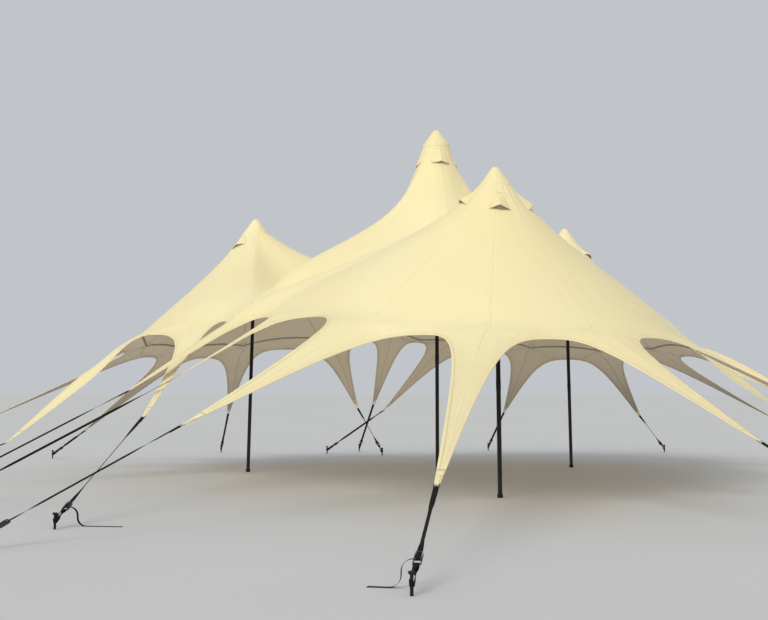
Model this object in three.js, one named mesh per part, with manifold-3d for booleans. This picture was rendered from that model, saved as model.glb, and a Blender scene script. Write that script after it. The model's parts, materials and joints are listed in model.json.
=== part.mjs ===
// A four-pole star tent: one tall centre pole, three lower poles round it, and one cream canopy
// whose edge is drawn out into 21 narrow arms. Each arm's tip is pulled to a ground peg by a strap.
// Millimetres, +Z up. The origin is at the foot of the centre pole, and -Y is the front.
import * as THREE from 'three';
import { mergeVertices } from 'three/addons/utils/BufferGeometryUtils.js';
import Module from 'manifold-3d';

const wasm = await Module();
wasm.setup();

// Driving dimensions: the poles and their peaks.
const CENTRE_PEAK = 6500;
const OUTER_PEAK = 5000;
const POLE_CIRCLE = 3750;
const POLE_RADIUS = 34;
const FOOT_OUTWARD = 120;
const POLE_FACES = 16;
const SHOE_RADIUS = 42;
const SHOE_HEIGHT = 60;
const HEAD_RADIUS = 62;
const HEAD_EDGE = 14;
const HEAD_CLEARANCE = 2;

// The caps at the peaks, and the canopy's top edge under them.
const CAP_HEIGHT = 280;
const CAP_RADIUS = 240;
const CAP_TOP_RADIUS = 50;
const CAP_WALL = 12;

// The canopy. Its thickness is measured straight down.
const CANOPY_DROP = 14;
const GAP = 0.3;
const INSET = 0.16;
const SHARPEST_CORNER = 0.3;
const OUTER_HOOD_RINGS = [340, 540];
const CENTRE_HOOD_RINGS = [270, 360];
const RINGS_TO_THE_EDGE = 5;
const ARM_COLUMNS = 4;
const ARM_STEPS = [0.15, 0.3, 0.45, 0.6, 0.75, 0.88, 1];
const SIDE_COLUMNS = 8;

// How the fabric's pull spreads: 1 gives a soap film's sharp peaks, 0 gives straight cones.
const OUTER_SPREAD = 0.27;
const CENTRE_SPREAD = 0.8;
const HOOP_PULL = 3.4;
const HOOP_GROWTH = 3;
const WEBBING_PULL = 2.3;
const HEM_PULL = 6;
const WEBBING_RISE = 115;
const METRE = 1000;
const SETTLED = 1e-9;

// The crowns of the arches lie round each outer pole, farther out with the angle from the lobe's
// axis. The webbing line, where the arms leave the roof, runs a little inside them.
const CROWN_NEAR = 2350;
const CROWN_GROWTH = 0.10963;
const WEBBING_INSIDE = 250;
const CROWN_ANGLES = [-108, -77, -39, 0, 39, 77, 108];

// An arm's edge: the half-width of the tip, the half-width that its straight sides aim at, and how
// far the two ends of the curved corner reach. An arch's bow fades out along the arm. An arm may
// have a root of its own.
const TIP_HALF_WIDTH = 26;
const ROOT_HALF_WIDTH = 250;
const VALLEY_KNUCKLE = 150;
const CORNER_REACH = 0.92;
const LEG_REACH = 0.9;
const BOW_FADE = 1.5;

// Straps, ratchets and pegs.
const STRAP_WIDTH = 50;
const STRAP_THICKNESS = 6;
const RING_LENGTH = 70;
const RING_WIDTH = 54;
const RATCHET = [170, 74, 44];
const RATCHET_FROM_PEG = 420;
const PEG_RADIUS = 16;
const PEG_HEIGHT = 190;
const PEG_HEAD_RADIUS = 30;
const PEG_FACES = 8;
const STRAP_END_HEIGHT = 95;

// The loose tails of webbing at two of the straps: each leaves its ratchet's side, falls in a soft
// curve and lies on the ground. Its side is 1 or -1: clockwise or anticlockwise of the arm, from above.
const TAIL_WIDTH = 50;
const TAIL_THICKNESS = 4;
const TAIL_BEND = 100;
const TAIL_BEND_STEPS = 8;
const TAIL_FROM_PEG = 280;
const TAIL_LIFT = 2.3;
const TAILS = [
  { lobe: 'front', arm: 3, side: 1, onGround: 180 },
  { lobe: 'left', arm: 6, side: -1, onGround: 450 },
];

// The vents: an arched hood on the canopy, just under the cap.
const HOOD_RISE = 80;
const HOOD_SKIN = 10;
const HOOD_COLUMNS = [-2, -1, 0, 1, 2];
const OUTER_VENT_CROWNS = [1, 3, 5];
const CENTRE_VENTS = 4;

const LOBES = [
  {
    name: 'front',
    axis: -79,
    ventStep: -1,
    crowns: [2620, 2310, 2250, 2300, 2180],
    arms: [
      { offset: -96, tip: 4850, height: 1740, peg: 7900, root: 150 },
      { offset: -58, tip: 5480, height: 1200, peg: 7900, root: 140 },
      { offset: -22, tip: 6400, height: 740, peg: 7800 },
      { offset: 20, tip: 4800, height: 1030, peg: 6700 },
      { offset: 58, tip: 5100, height: 1050, peg: 7000 },
      { offset: 96, tip: 5100, height: 1250, peg: 7600 },
    ],
  },
  {
    name: 'right',
    axis: 41,
    ventStep: 0,
    crowns: [2250, 2310, 2330, 2320, 2530],
    arms: [
      { offset: -96, tip: 4850, height: 1650, peg: 7800 },
      { offset: -58, tip: 5300, height: 1000, peg: 7000 },
      { offset: -20, tip: 5300, height: 1000, peg: 6800 },
      { offset: 17, tip: 4600, height: 1010, peg: 6600 },
      { offset: 58, tip: 4850, height: 1070, peg: 6500 },
      { offset: 96, tip: 5200, height: 1140, peg: 7200 },
    ],
  },
  {
    name: 'left',
    axis: 161,
    ventStep: 0,
    crowns: [2530, 2300, 2280, 2310, 2560],
    arms: [
      { offset: -96, tip: 4550, height: 1210, peg: 5950 },
      { offset: -57, tip: 5100, height: 1060, peg: 6900 },
      { offset: -20, tip: 5500, height: 700, peg: 6800 },
      { offset: 20, tip: 5200, height: 1050, peg: 7000 },
      { offset: 58, tip: 4850, height: 720, peg: 6600 },
      { offset: 101, tip: 5950, height: 1232, peg: 8700, root: 140 },
    ],
  },
];

// One more arm leaves each valley between two lobes; reach is from the centre pole.
const VALLEYS = [
  { name: 'right', axis: -19, tip: 6300, height: 1450, peg: 8500, crown: 2480 },
  { name: 'back', axis: 101, tip: 6500, height: 1280, peg: 8600, crown: 2690 },
  { name: 'left', axis: 221, tip: 6240, height: 1600, peg: 9400, crown: 2720 },
];

const CENTRE = [0, 0];
const SAME_POINT = 1e-3;
const VALLEY_TURN = 60;
const radians = THREE.MathUtils.degToRad;

function heading(angle) {
  return [Math.cos(radians(angle)), Math.sin(radians(angle))];
}

function polar(centre, angle, reach) {
  const way = heading(angle);
  return [centre[0] + reach * way[0], centre[1] + reach * way[1]];
}

const dot = (a, b) => a[0] * b[0] + a[1] * b[1];
const mix = (a, b, t) => a.map((value, k) => value + (b[k] - value) * t);
const move = (a, way, step) => a.map((value, k) => value + (way[k] ?? 0) * step);

function unit(a) {
  const length = Math.hypot(a[0], a[1]);
  return [a[0] / length, a[1] / length];
}

function bezier([p0, p1, p2, p3], t) {
  const s = 1 - t;
  return p0.map((_, k) =>
    s * s * s * p0[k] + 3 * s * s * t * p1[k] + 3 * s * t * t * p2[k] + t * t * t * p3[k]);
}

function hermite(p0, way0, p1, way1, t) {
  const reach = Math.hypot(p1[0] - p0[0], p1[1] - p0[1]) / 3;
  return bezier([p0, move(p0, way0, reach), move(p1, way1, -reach), p1], t);
}

// The canopy's net: points, some of them held at their height, and four-sided cells between them.
class Net {
  constructor() {
    this.points = [];
    this.held = [];
    this.cells = [];
    this.lines = [];
    this.ties = [];
  }

  add(point, held = false) {
    this.points.push([point[0], point[1], point[2] ?? 0]);
    this.held.push(held);
    return this.points.length - 1;
  }

  // A strip of cells between two rows of points, the upper one nearer the peak.
  strip(panel, upper, lower, pull = null) {
    for (let k = 0; k + 1 < upper.length; k += 1) {
      const corners = [upper[k], lower[k], lower[k + 1], upper[k + 1]];
      this.cells.push({ panel: Array.isArray(panel) ? panel[k] : panel, corners, pull });
    }
  }

  span(a, b) {
    const [p, q] = [this.points[a], this.points[b]];
    return Math.hypot(p[0] - q[0], p[1] - q[1]);
  }

  // How hard each pair of neighbours pulls: the sides that run down from a peak, and the hoops.
  pulls() {
    const pairs = new Map();
    const add = (a, b, pull) => {
      const key = a < b ? a * this.points.length + b : b * this.points.length + a;
      pairs.set(key, (pairs.get(key) ?? 0) + pull);
    };
    for (const { corners: [a, b, c, d], pull } of this.cells) {
      const down = (this.span(a, b) + this.span(d, c)) / 2;
      const across = (this.span(a, d) + this.span(b, c)) / 2;
      const near = pull ? this.reach([a, b, c, d], pull.centre) / pull.edge : 1;
      const downPull = (across / down) * near ** (pull ? pull.spread - 1 : 0);
      const hoopPull = (down / across) * (pull ? HOOP_PULL * near ** HOOP_GROWTH : 1);
      add(a, b, downPull / 2);
      add(d, c, downPull / 2);
      add(a, d, hoopPull / 2);
      add(b, c, hoopPull / 2);
    }
    for (const { ids, pull } of this.lines) {
      for (let k = 0; k + 1 < ids.length; k += 1) {
        add(ids[k], ids[k + 1], (pull * METRE) / this.span(ids[k], ids[k + 1]));
      }
    }
    return [...pairs].map(([key, pull]) =>
      [Math.floor(key / this.points.length), key % this.points.length, pull]);
  }

  reach(corners, centre) {
    const x = corners.reduce((sum, id) => sum + this.points[id][0], 0) / corners.length;
    const y = corners.reduce((sum, id) => sum + this.points[id][1], 0) / corners.length;
    return Math.hypot(x - centre[0], y - centre[1]);
  }

  // Settles the free points' heights, by conjugate gradients, to where every pull is in balance.
  settle() {
    const pulls = this.pulls();
    const count = this.points.length;
    const heights = Float64Array.from(this.points, (point) => point[2]);
    const imbalance = (values, rest = 1) => {
      const sum = new Float64Array(count);
      for (const { id, height, pull } of this.ties) sum[id] += pull * (rest * height - values[id]);
      for (const [a, b, pull] of pulls) {
        const force = pull * (values[b] - values[a]);
        sum[a] += force;
        sum[b] -= force;
      }
      this.held.forEach((held, id) => {
        if (held) sum[id] = 0;
      });
      return sum;
    };
    const product = (a, b) => a.reduce((sum, value, id) => sum + value * b[id], 0);
    const residual = imbalance(heights);
    const way = Float64Array.from(residual);
    let energy = product(residual, residual);
    for (let round = 0; round < 4 * count && energy > SETTLED; round += 1) {
      const change = imbalance(way, 0);
      const step = energy / -product(way, change);
      for (let id = 0; id < count; id += 1) {
        heights[id] += step * way[id];
        residual[id] += step * change[id];
      }
      const next = product(residual, residual);
      for (let id = 0; id < count; id += 1) way[id] = residual[id] + (next / energy) * way[id];
      energy = next;
    }
    this.points.forEach((point, id) => {
      point[2] = heights[id];
    });
  }
}

const net = new Net();

const crownReach = (offset) => CROWN_NEAR + CROWN_GROWTH * offset * offset;
const lastCrown = CROWN_ANGLES[CROWN_ANGLES.length - 1];

// How far along a valley's axis the straight line between two lobes' last points crosses it.
function valleyReach(reach) {
  const last = move(polar(CENTRE, lastCrown, reach), [1, 0], POLE_CIRCLE);
  return dot(last, heading(VALLEY_TURN));
}

const valleyCorner = valleyReach(crownReach(lastCrown) - WEBBING_INSIDE);
const valleyCrown = valleyReach(crownReach(lastCrown));

for (const valley of VALLEYS) {
  valley.foot = CENTRE;
  valley.start = polar(CENTRE, valley.axis, valleyCrown + VALLEY_KNUCKLE);
  valley.corner = net.add(polar(CENTRE, valley.axis, valleyCorner));
}

LOBES.forEach((lobe, index) => {
  lobe.pole = polar(CENTRE, lobe.axis, POLE_CIRCLE);
  lobe.after = VALLEYS[index];
  lobe.before = VALLEYS[(index + VALLEYS.length - 1) % VALLEYS.length];
  for (const arm of lobe.arms) {
    arm.foot = lobe.pole;
    arm.axis = lobe.axis + arm.offset;
    arm.start = polar(lobe.pole, arm.axis, crownReach(arm.offset));
  }
  const heights = [lobe.before.crown, ...lobe.crowns, lobe.after.crown];
  lobe.crownPoints = CROWN_ANGLES.map((offset, k) => {
    const place = polar(lobe.pole, lobe.axis + offset, crownReach(offset));
    return net.add([...place, heights[k]], true);
  });
  const starts = [lobe.before, ...lobe.arms, lobe.after].map((arm) => arm.start);
  lobe.crownWays = lobe.crownPoints.map((_, k) =>
    unit([starts[k + 1][0] - starts[k][0], starts[k + 1][1] - starts[k][1]]));

  // The webbing line: straight into the valleys, and round from crown to crown between them.
  const webbing = (offset) =>
    polar(lobe.pole, lobe.axis + offset, crownReach(offset) - WEBBING_INSIDE);
  const fan = [];
  for (let k = 0; k + 1 < CROWN_ANGLES.length; k += 1) {
    for (let step = 0; step < ARM_COLUMNS; step += 1) {
      const width = CROWN_ANGLES[k + 1] - CROWN_ANGLES[k];
      fan.push(net.add(webbing(CROWN_ANGLES[k] + (width * step) / ARM_COLUMNS)));
    }
  }
  fan.push(net.add(webbing(lastCrown)));
  const half = ARM_COLUMNS / 2;
  const into = (corner, point) => {
    const ids = [];
    for (let step = 1; step < half; step += 1) {
      ids.push(net.add(mix(net.points[corner], net.points[point], step / half)));
    }
    return ids;
  };
  lobe.fan = fan;
  lobe.inward = into(lobe.before.corner, fan[0]);
  lobe.outward = into(lobe.after.corner, fan[fan.length - 1]).reverse();

  // The line across the roof between this lobe and the centre, from valley corner to corner.
  const line = valleyCorner * Math.cos(radians(VALLEY_TURN));
  lobe.side = [lobe.before.corner];
  for (let k = 1; k < SIDE_COLUMNS; k += 1) {
    const turn = VALLEY_TURN * ((2 * k) / SIDE_COLUMNS - 1);
    lobe.side.push(net.add(polar(CENTRE, lobe.axis + turn, line / Math.cos(radians(turn)))));
  }
  lobe.side.push(lobe.after.corner);
});

// Rows of points round a peak, from the cap's edge out to the given closed line of points.
function peakRows(centre, peak, hoodRings, edge) {
  const columns = edge.map((id) => {
    const place = net.points[id];
    const far = Math.hypot(place[0] - centre[0], place[1] - centre[1]);
    const column = [CAP_RADIUS, ...hoodRings];
    const last = hoodRings[hoodRings.length - 1];
    for (let step = 1; step < RINGS_TO_THE_EDGE; step += 1) {
      column.push(last + ((far - last) * step) / RINGS_TO_THE_EDGE);
    }
    const ids = column.map((reach, row) => {
      const point = mix(centre, place, reach / far);
      return row === 0 ? net.add([...point, peak - CAP_HEIGHT], true) : net.add(point);
    });
    return [...ids, id];
  });
  return columns[0].map((_, row) => columns.map((column) => column[row]));
}

function closeRow(row) {
  return [...row, row[0]];
}

function stripPeak(rows, panels, pull) {
  for (let row = 0; row + 1 < rows.length; row += 1) {
    net.strip(panels, closeRow(rows[row]), closeRow(rows[row + 1]), pull);
  }
}

for (const lobe of LOBES) {
  const outer = [...lobe.inward, ...lobe.fan, ...lobe.outward];
  const edge = [lobe.before.corner, ...outer, ...[...lobe.side].reverse().slice(0, -1)];
  const firstFan = 1 + lobe.inward.length;
  const panels = edge.map((_, k) => {
    const column = k - firstFan;
    if (column < 0 || column >= lobe.fan.length - 1) return `saddle_${lobe.name}`;
    return `panel_${lobe.name}_${1 + Math.floor(column / (2 * ARM_COLUMNS))}`;
  });
  lobe.rows = peakRows(lobe.pole, OUTER_PEAK, OUTER_HOOD_RINGS, edge);
  lobe.firstFan = firstFan;
  stripPeak(lobe.rows, panels, { centre: lobe.pole, edge: CROWN_NEAR, spread: OUTER_SPREAD });
}

const centreEdge = LOBES.flatMap((lobe) => lobe.side.slice(0, -1));
const centreRows = peakRows(CENTRE, CENTRE_PEAK, CENTRE_HOOD_RINGS, centreEdge);
stripPeak(
  centreRows,
  LOBES.flatMap((lobe) => lobe.side.slice(0, -1).map(() => `saddle_${lobe.name}`)),
  { centre: CENTRE, edge: valleyCorner / 2, spread: CENTRE_SPREAD },
);

// An arm: a band from the webbing line to its two crowns, then rows that narrow to the tip.
function armRows(panel, arm, root, crowns, ways) {
  const along = heading(arm.axis);
  const acrossWay = [-along[1], along[0]];
  const tip = [...polar(arm.foot, arm.axis, arm.tip), arm.height];
  const [right, left] = crowns.map((id) => net.points[id]);
  const edgeOf = (crown, way, side) => {
    const half = arm.root ?? ROOT_HALF_WIDTH;
    const knee = [...move(arm.start, acrossWay, side * half), crown[2]];
    const end = move(tip, acrossWay, side * TIP_HALF_WIDTH);
    const reach = Math.hypot(knee[0] - crown[0], knee[1] - crown[1]) * CORNER_REACH;
    return [crown, move(crown, way, -side * reach), mix(end, knee, LEG_REACH), end];
  };
  const rightEdge = edgeOf(right, ways[0], -1);
  const leftEdge = edgeOf(left, ways[1], 1);
  const rows = [root];
  for (const t of [0, ...ARM_STEPS]) {
    const [from, to] = [bezier(rightEdge, t), bezier(leftEdge, t)];
    rows.push(root.map((_, k) => {
      const share = k / (root.length - 1);
      if (t === 0 && share === 0) return crowns[0];
      if (t === 0 && share === 1) return crowns[1];
      const bow = mix(right, left, share).map((value, axis) =>
        hermite(right, ways[0], left, ways[1], share)[axis] - value);
      const point = mix(from, to, share);
      const held = share === 0 || share === 1 || t === 1;
      return net.add(point.map((value, axis) => value + bow[axis] * (1 - t) ** BOW_FADE), held);
    }));
  }
  for (let row = 0; row + 1 < rows.length; row += 1) net.strip(panel, rows[row], rows[row + 1]);
  arm.tipPoint = tip;
}

for (const lobe of LOBES) {
  lobe.arms.forEach((arm, k) => {
    const root = lobe.fan.slice(k * ARM_COLUMNS, (k + 1) * ARM_COLUMNS + 1);
    const panel = `panel_${lobe.name}_${1 + Math.floor(k / 2)}`;
    armRows(panel, arm, root, lobe.crownPoints.slice(k, k + 2), lobe.crownWays.slice(k, k + 2));
  });
}

VALLEYS.forEach((valley, index) => {
  const lobe = LOBES[index];
  const next = LOBES[(index + 1) % LOBES.length];
  const root = [
    lobe.fan[lobe.fan.length - 1],
    ...lobe.outward,
    valley.corner,
    ...next.inward,
    next.fan[0],
  ];
  const last = lobe.crownPoints.length - 1;
  const crowns = [lobe.crownPoints[last], next.crownPoints[0]];
  const ways = [lobe.crownWays[last], next.crownWays[0]];
  armRows(`valley_arm_${valley.name}`, valley, root, crowns, ways);
});

// The hem draws the webbing line down towards the crowns of the arches, all the way round.
for (const lobe of LOBES) {
  const [before, after] = [lobe.before, lobe.after];
  const line = [before.corner, ...lobe.inward, ...lobe.fan, ...lobe.outward, after.corner];
  net.lines.push({ ids: line, pull: WEBBING_PULL });
  const levels = [before.crown, before.crown, ...lobe.crowns, after.crown, after.crown];
  line.forEach((id, k) => {
    const place = (k + ARM_COLUMNS / 2) / ARM_COLUMNS;
    const crown = Math.min(Math.floor(place), levels.length - 2);
    const height = levels[crown] + (levels[crown + 1] - levels[crown]) * (place - crown);
    net.ties.push({ id, height: height + WEBBING_RISE, pull: HEM_PULL });
  });
}

net.settle();

// A closed mesh from loose triangles of points.
function solidMesh(triangles) {
  const geometry = new THREE.BufferGeometry();
  geometry.setAttribute('position', new THREE.Float32BufferAttribute(triangles.flat(2), 3));
  const merged = mergeVertices(geometry, SAME_POINT);
  merged.computeVertexNormals();
  return merged;
}

// The four-sided cells of one panel, each as two triangles of point numbers.
function panelTriangles(cells) {
  return cells.flatMap(({ corners: [a, b, c, d] }) => [[a, b, c], [a, c, d]]);
}

// Where each point on a panel's rim goes when the rim is drawn in to clear its neighbours.
function drawnIn(triangles) {
  const sides = new Map();
  for (const [a, b, c] of triangles) {
    for (const [from, to] of [[a, b], [b, c], [c, a]]) {
      if (!sides.delete(`${to},${from}`)) sides.set(`${from},${to}`, [from, to]);
    }
  }
  const rim = [...sides.values()];
  const inward = new Map();
  for (const [from, to] of rim) {
    const [p, q] = [net.points[from], net.points[to]];
    const normal = unit([p[1] - q[1], q[0] - p[0]]);
    for (const id of [from, to]) inward.set(id, [...(inward.get(id) ?? []), normal]);
  }
  const places = new Map();
  for (const [id, normals] of inward) {
    const [first, second] = normals;
    const sum = [first[0] + second[0], first[1] + second[1]];
    const scale = INSET / Math.max(1 + dot(first, second), SHARPEST_CORNER);
    places.set(id, move(net.points[id], sum, scale));
  }
  return { rim, places };
}

// A panel of the canopy, from its upper face straight down by its thickness.
function panelGeometry(name) {
  const triangles = panelTriangles(net.cells.filter((cell) => cell.panel === name));
  const { rim, places } = drawnIn(triangles);
  const top = (id) => places.get(id) ?? net.points[id];
  const under = (id) => move(top(id), [0, 0, 1], -CANOPY_DROP);
  const faces = triangles.map((ids) => ids.map(top));
  faces.push(...triangles.map(([a, b, c]) => [under(c), under(b), under(a)]));
  for (const [from, to] of rim) {
    faces.push([top(to), top(from), under(from)], [top(to), under(from), under(to)]);
  }
  return solidMesh(faces);
}

// A vent's hood: it lies on the canopy between two rows of points, and arches up at the lower one.
function hoodGeometry(upper, lower) {
  const last = upper.length - 1;
  const lift = (id, rise) => move(net.points[id], [0, 0, 1], GAP + rise);
  const arch = (k) => HOOD_SKIN + HOOD_RISE * Math.sin((Math.PI * k) / last);
  const faces = [];
  const quad = (a, b, c, d) => faces.push([a, b, c], [a, c, d]);
  for (let k = 0; k < last; k += 1) {
    const base = [upper[k], lower[k], lower[k + 1], upper[k + 1]].map((id) => lift(id, 0));
    const crown = [
      lift(upper[k], HOOD_SKIN),
      lift(lower[k], arch(k)),
      lift(lower[k + 1], arch(k + 1)),
      lift(upper[k + 1], HOOD_SKIN),
    ];
    quad(...crown);
    faces.push([base[2], base[1], base[0]], [base[3], base[2], base[0]]);
    quad(crown[1], base[1], base[2], crown[2]);
    quad(base[0], crown[0], crown[3], base[3]);
    if (k === 0) quad(crown[0], base[0], base[1], crown[1]);
    if (k === last - 1) quad(base[3], crown[3], crown[2], base[2]);
  }
  return solidMesh(faces);
}

function hoodColumns(row, middle) {
  return HOOD_COLUMNS.map((step) => row[(middle + step + row.length) % row.length]);
}

// A turned piece: the profile's points are radius and height, from the axis and back to it.
function turned(profile, faces = POLE_FACES) {
  const points = profile.map(([radius, height]) => new THREE.Vector2(radius, height));
  return new THREE.LatheGeometry(points, faces).rotateX(Math.PI / 2);
}

// A pole: a round tube with a plain shoe, and a head whose cone carries the cap from inside. An
// outer pole leans in a little: its foot stands outside its peak, along the given step.
function poleGeometry(peak, step) {
  const top = peak - CAP_WALL - GAP;
  const tip = CAP_TOP_RADIUS - CAP_WALL - HEAD_CLEARANCE;
  const slope = (CAP_RADIUS - CAP_TOP_RADIUS) / (CAP_HEIGHT - CAP_WALL);
  const shoulder = top - (HEAD_RADIUS - tip) / slope;
  return turned([
    [0, 0],
    [SHOE_RADIUS, 0],
    [SHOE_RADIUS, SHOE_HEIGHT],
    [POLE_RADIUS, SHOE_HEIGHT],
    [POLE_RADIUS, shoulder - HEAD_EDGE],
    [HEAD_RADIUS, shoulder - HEAD_EDGE],
    [HEAD_RADIUS, shoulder],
    [tip, top],
    [0, top],
  ]).applyMatrix4(new THREE.Matrix4().set(
    1, 0, -step[0] / peak, step[0],
    0, 1, -step[1] / peak, step[1],
    0, 0, 1, 0,
    0, 0, 0, 1,
  ));
}

// A cap: a cone with a small blunt top, open below, that covers the canopy's top edge.
function capGeometry(peak) {
  const rim = peak - CAP_HEIGHT + GAP;
  return turned([
    [0, peak - CAP_WALL],
    [CAP_TOP_RADIUS - CAP_WALL, peak - CAP_WALL],
    [CAP_RADIUS - CAP_WALL, rim],
    [CAP_RADIUS, rim],
    [CAP_TOP_RADIUS, peak],
    [0, peak],
  ]);
}

function toSolid(geometry) {
  const plain = geometry.clone();
  plain.deleteAttribute('normal');
  plain.deleteAttribute('uv');
  const merged = mergeVertices(plain, SAME_POINT);
  const mesh = new wasm.Mesh({
    numProp: 3,
    vertProperties: new Float32Array(merged.attributes.position.array),
    triVerts: new Uint32Array(merged.index.array),
  });
  return new wasm.Manifold(mesh);
}

function fromSolid(solid) {
  const mesh = solid.getMesh();
  const geometry = new THREE.BufferGeometry();
  geometry.setAttribute('position', new THREE.BufferAttribute(mesh.vertProperties, 3));
  geometry.setIndex(new THREE.BufferAttribute(mesh.triVerts, 1));
  geometry.computeVertexNormals();
  return geometry;
}

function joined(geometries) {
  return geometries.map(toSolid).reduce((sum, solid) => sum.add(solid));
}

// A strap with its end fitting, its ratchet and its ground peg, from an arm's tip to the ground.
// Its upper end is cut upright, so that it meets the tip's end face.
function strapGeometry(arm) {
  const way = heading(arm.axis);
  const from = new THREE.Vector3(...arm.tipPoint);
  from.z -= CANOPY_DROP / 2;
  const peg = polar(arm.foot, arm.axis, arm.peg);
  const to = new THREE.Vector3(...peg, STRAP_END_HEIGHT);
  const length = from.distanceTo(to);
  const along = to.clone().sub(from).normalize();
  const across = new THREE.Vector3(-way[1], way[0], 0);
  const turn = new THREE.Matrix4().makeBasis(along, across, along.clone().cross(across));
  const bar = (size, start) => {
    const box = new THREE.BoxGeometry(...size);
    const middle = from.clone().addScaledVector(along, start + size[0] / 2);
    return box.applyMatrix4(turn).translate(middle.x, middle.y, middle.z);
  };
  const pin = turned([
    [0, 0],
    [PEG_RADIUS, 0],
    [PEG_RADIUS, PEG_HEIGHT - 2 * PEG_RADIUS],
    [PEG_HEAD_RADIUS, PEG_HEIGHT - PEG_RADIUS],
    [PEG_HEAD_RADIUS, PEG_HEIGHT],
    [0, PEG_HEIGHT],
  ], PEG_FACES).translate(peg[0], peg[1], 0);
  const whole = joined([
    bar([length, STRAP_WIDTH, STRAP_THICKNESS], 0),
    bar([2 * RING_LENGTH, RING_WIDTH, 2 * STRAP_THICKNESS], -RING_LENGTH),
    bar(RATCHET, length - RATCHET_FROM_PEG),
    pin,
  ]);
  return fromSolid(whole.trimByPlane([...way, 0], dot(arm.tipPoint, way) + GAP - INSET));
}

// A tail's line as distance out from the strap and height, with the way it runs at each point.
function tailLine(exitHeight, onGround) {
  const line = [];
  const arc = (centre, from, turn) => {
    for (let k = 0; k <= TAIL_BEND_STEPS; k += 1) {
      const angle = from + (turn * k) / TAIL_BEND_STEPS;
      const way = [-Math.sign(turn) * Math.sin(angle), Math.sign(turn) * Math.cos(angle)];
      line.push({ at: polar(centre, THREE.MathUtils.radToDeg(angle), TAIL_BEND), way });
    }
  };
  const out = RATCHET[1] / 2 + GAP;
  arc([out, exitHeight - TAIL_BEND], Math.PI / 2, -Math.PI / 2);
  arc([out + 2 * TAIL_BEND, TAIL_LIFT + TAIL_BEND], Math.PI, Math.PI / 2);
  line.push({ at: [out + 2 * TAIL_BEND + onGround, TAIL_LIFT], way: [1, 0] });
  return line;
}

// A loose tail beside an arm's ratchet, as a flat band swept along the tail's line.
function tailGeometry(arm, side, onGround) {
  const reach = arm.peg - TAIL_FROM_PEG - TAIL_WIDTH / 2;
  const top = arm.height - CANOPY_DROP / 2;
  const down = (reach - arm.tip) / (arm.peg - arm.tip);
  const line = tailLine(top + (STRAP_END_HEIGHT - top) * down, onGround);
  const face = (shift) => line.map(({ at, way }) =>
    new THREE.Vector2(...move(at, [-way[1], way[0]], shift * (TAIL_THICKNESS / 2))));
  const shape = new THREE.Shape([...face(1), ...face(-1).reverse()]);
  const band = new THREE.ExtrudeGeometry(shape, { depth: TAIL_WIDTH, bevelEnabled: false })
    .translate(0, 0, -TAIL_WIDTH / 2);
  const way = heading(arm.axis);
  const out = new THREE.Vector3(side * way[1], -side * way[0], 0);
  const up = new THREE.Vector3(0, 0, 1);
  const turn = new THREE.Matrix4().makeBasis(out, up, out.clone().cross(up));
  const from = polar(arm.foot, arm.axis, reach);
  return fromSolid(toSolid(band.applyMatrix4(turn).translate(from[0], from[1], 0)));
}

function material(colour, roughness, metalness = 0) {
  return new THREE.MeshStandardMaterial({ color: colour, roughness, metalness });
}

const fabric = material('#f6ebc4', 0.8);
const hoodFabric = material('#f3e6bd', 0.8);
const capFabric = material('#f5e6c2', 0.75);
const polePaint = material('#15161a', 0.45, 0.4);
const webbing = material('#1b1b1b', 0.85);

const tent = new THREE.Group();

function addPiece(name, geometry, finish, place = CENTRE) {
  const piece = new THREE.Mesh(geometry, finish);
  piece.name = name;
  piece.position.set(place[0], place[1], 0);
  tent.add(piece);
}

const peaks = [
  { name: 'centre', place: CENTRE, peak: CENTRE_PEAK, step: [0, 0] },
  ...LOBES.map((lobe) => ({
    name: lobe.name,
    place: lobe.pole,
    peak: OUTER_PEAK,
    step: polar(CENTRE, lobe.axis, FOOT_OUTWARD),
  })),
];
for (const { name, place, peak, step } of peaks) {
  addPiece(`pole_${name}`, poleGeometry(peak, step), polePaint, place);
  addPiece(`cap_${name}`, capGeometry(peak), capFabric, place);
}

for (const name of new Set(net.cells.map((cell) => cell.panel))) {
  addPiece(name, panelGeometry(name), fabric);
}

for (const lobe of LOBES) {
  OUTER_VENT_CROWNS.forEach((crown, k) => {
    const middle = lobe.firstFan + crown * ARM_COLUMNS + lobe.ventStep;
    const [upper, lower] = [1, 2].map((row) => hoodColumns(lobe.rows[row], middle));
    addPiece(`vent_hood_${lobe.name}_${k + 1}`, hoodGeometry(upper, lower), hoodFabric);
  });
}
for (let k = 0; k < CENTRE_VENTS; k += 1) {
  const middle = SIDE_COLUMNS / 2 + (k * centreEdge.length) / CENTRE_VENTS;
  const [upper, lower] = [1, 2].map((row) => hoodColumns(centreRows[row], middle));
  addPiece(`vent_hood_centre_${k + 1}`, hoodGeometry(upper, lower), hoodFabric);
}

for (const lobe of LOBES) {
  lobe.arms.forEach((arm, k) => {
    addPiece(`strap_${lobe.name}_${k + 1}`, strapGeometry(arm), webbing);
  });
}
for (const valley of VALLEYS) {
  addPiece(`strap_valley_${valley.name}`, strapGeometry(valley), webbing);
}

for (const tail of TAILS) {
  const arm = LOBES.find(({ name }) => name === tail.lobe).arms[tail.arm - 1];
  addPiece(`tail_${tail.lobe}_${tail.arm}`, tailGeometry(arm, tail.side, tail.onGround), webbing);
}

export default tent;
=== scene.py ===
"""A star tent of cream stretch cloth on four black poles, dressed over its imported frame.

The canopy is one curved sheet. Its net is drawn in plan and settled to where every pull is in
balance, as the frame's panels were, but finer. Seams, hems, tapes, vents and caps are then laid
on the sheet, and the poles, straps, ratchets and pegs are made in detail where the frame has them.
Everything is in metres, +Z up, with the origin at the foot of the centre pole and -Y to the front.
"""

from __future__ import annotations

import json
import logging
import math
from dataclasses import dataclass, field
from enum import Enum
from typing import Iterable, Sequence

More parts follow.
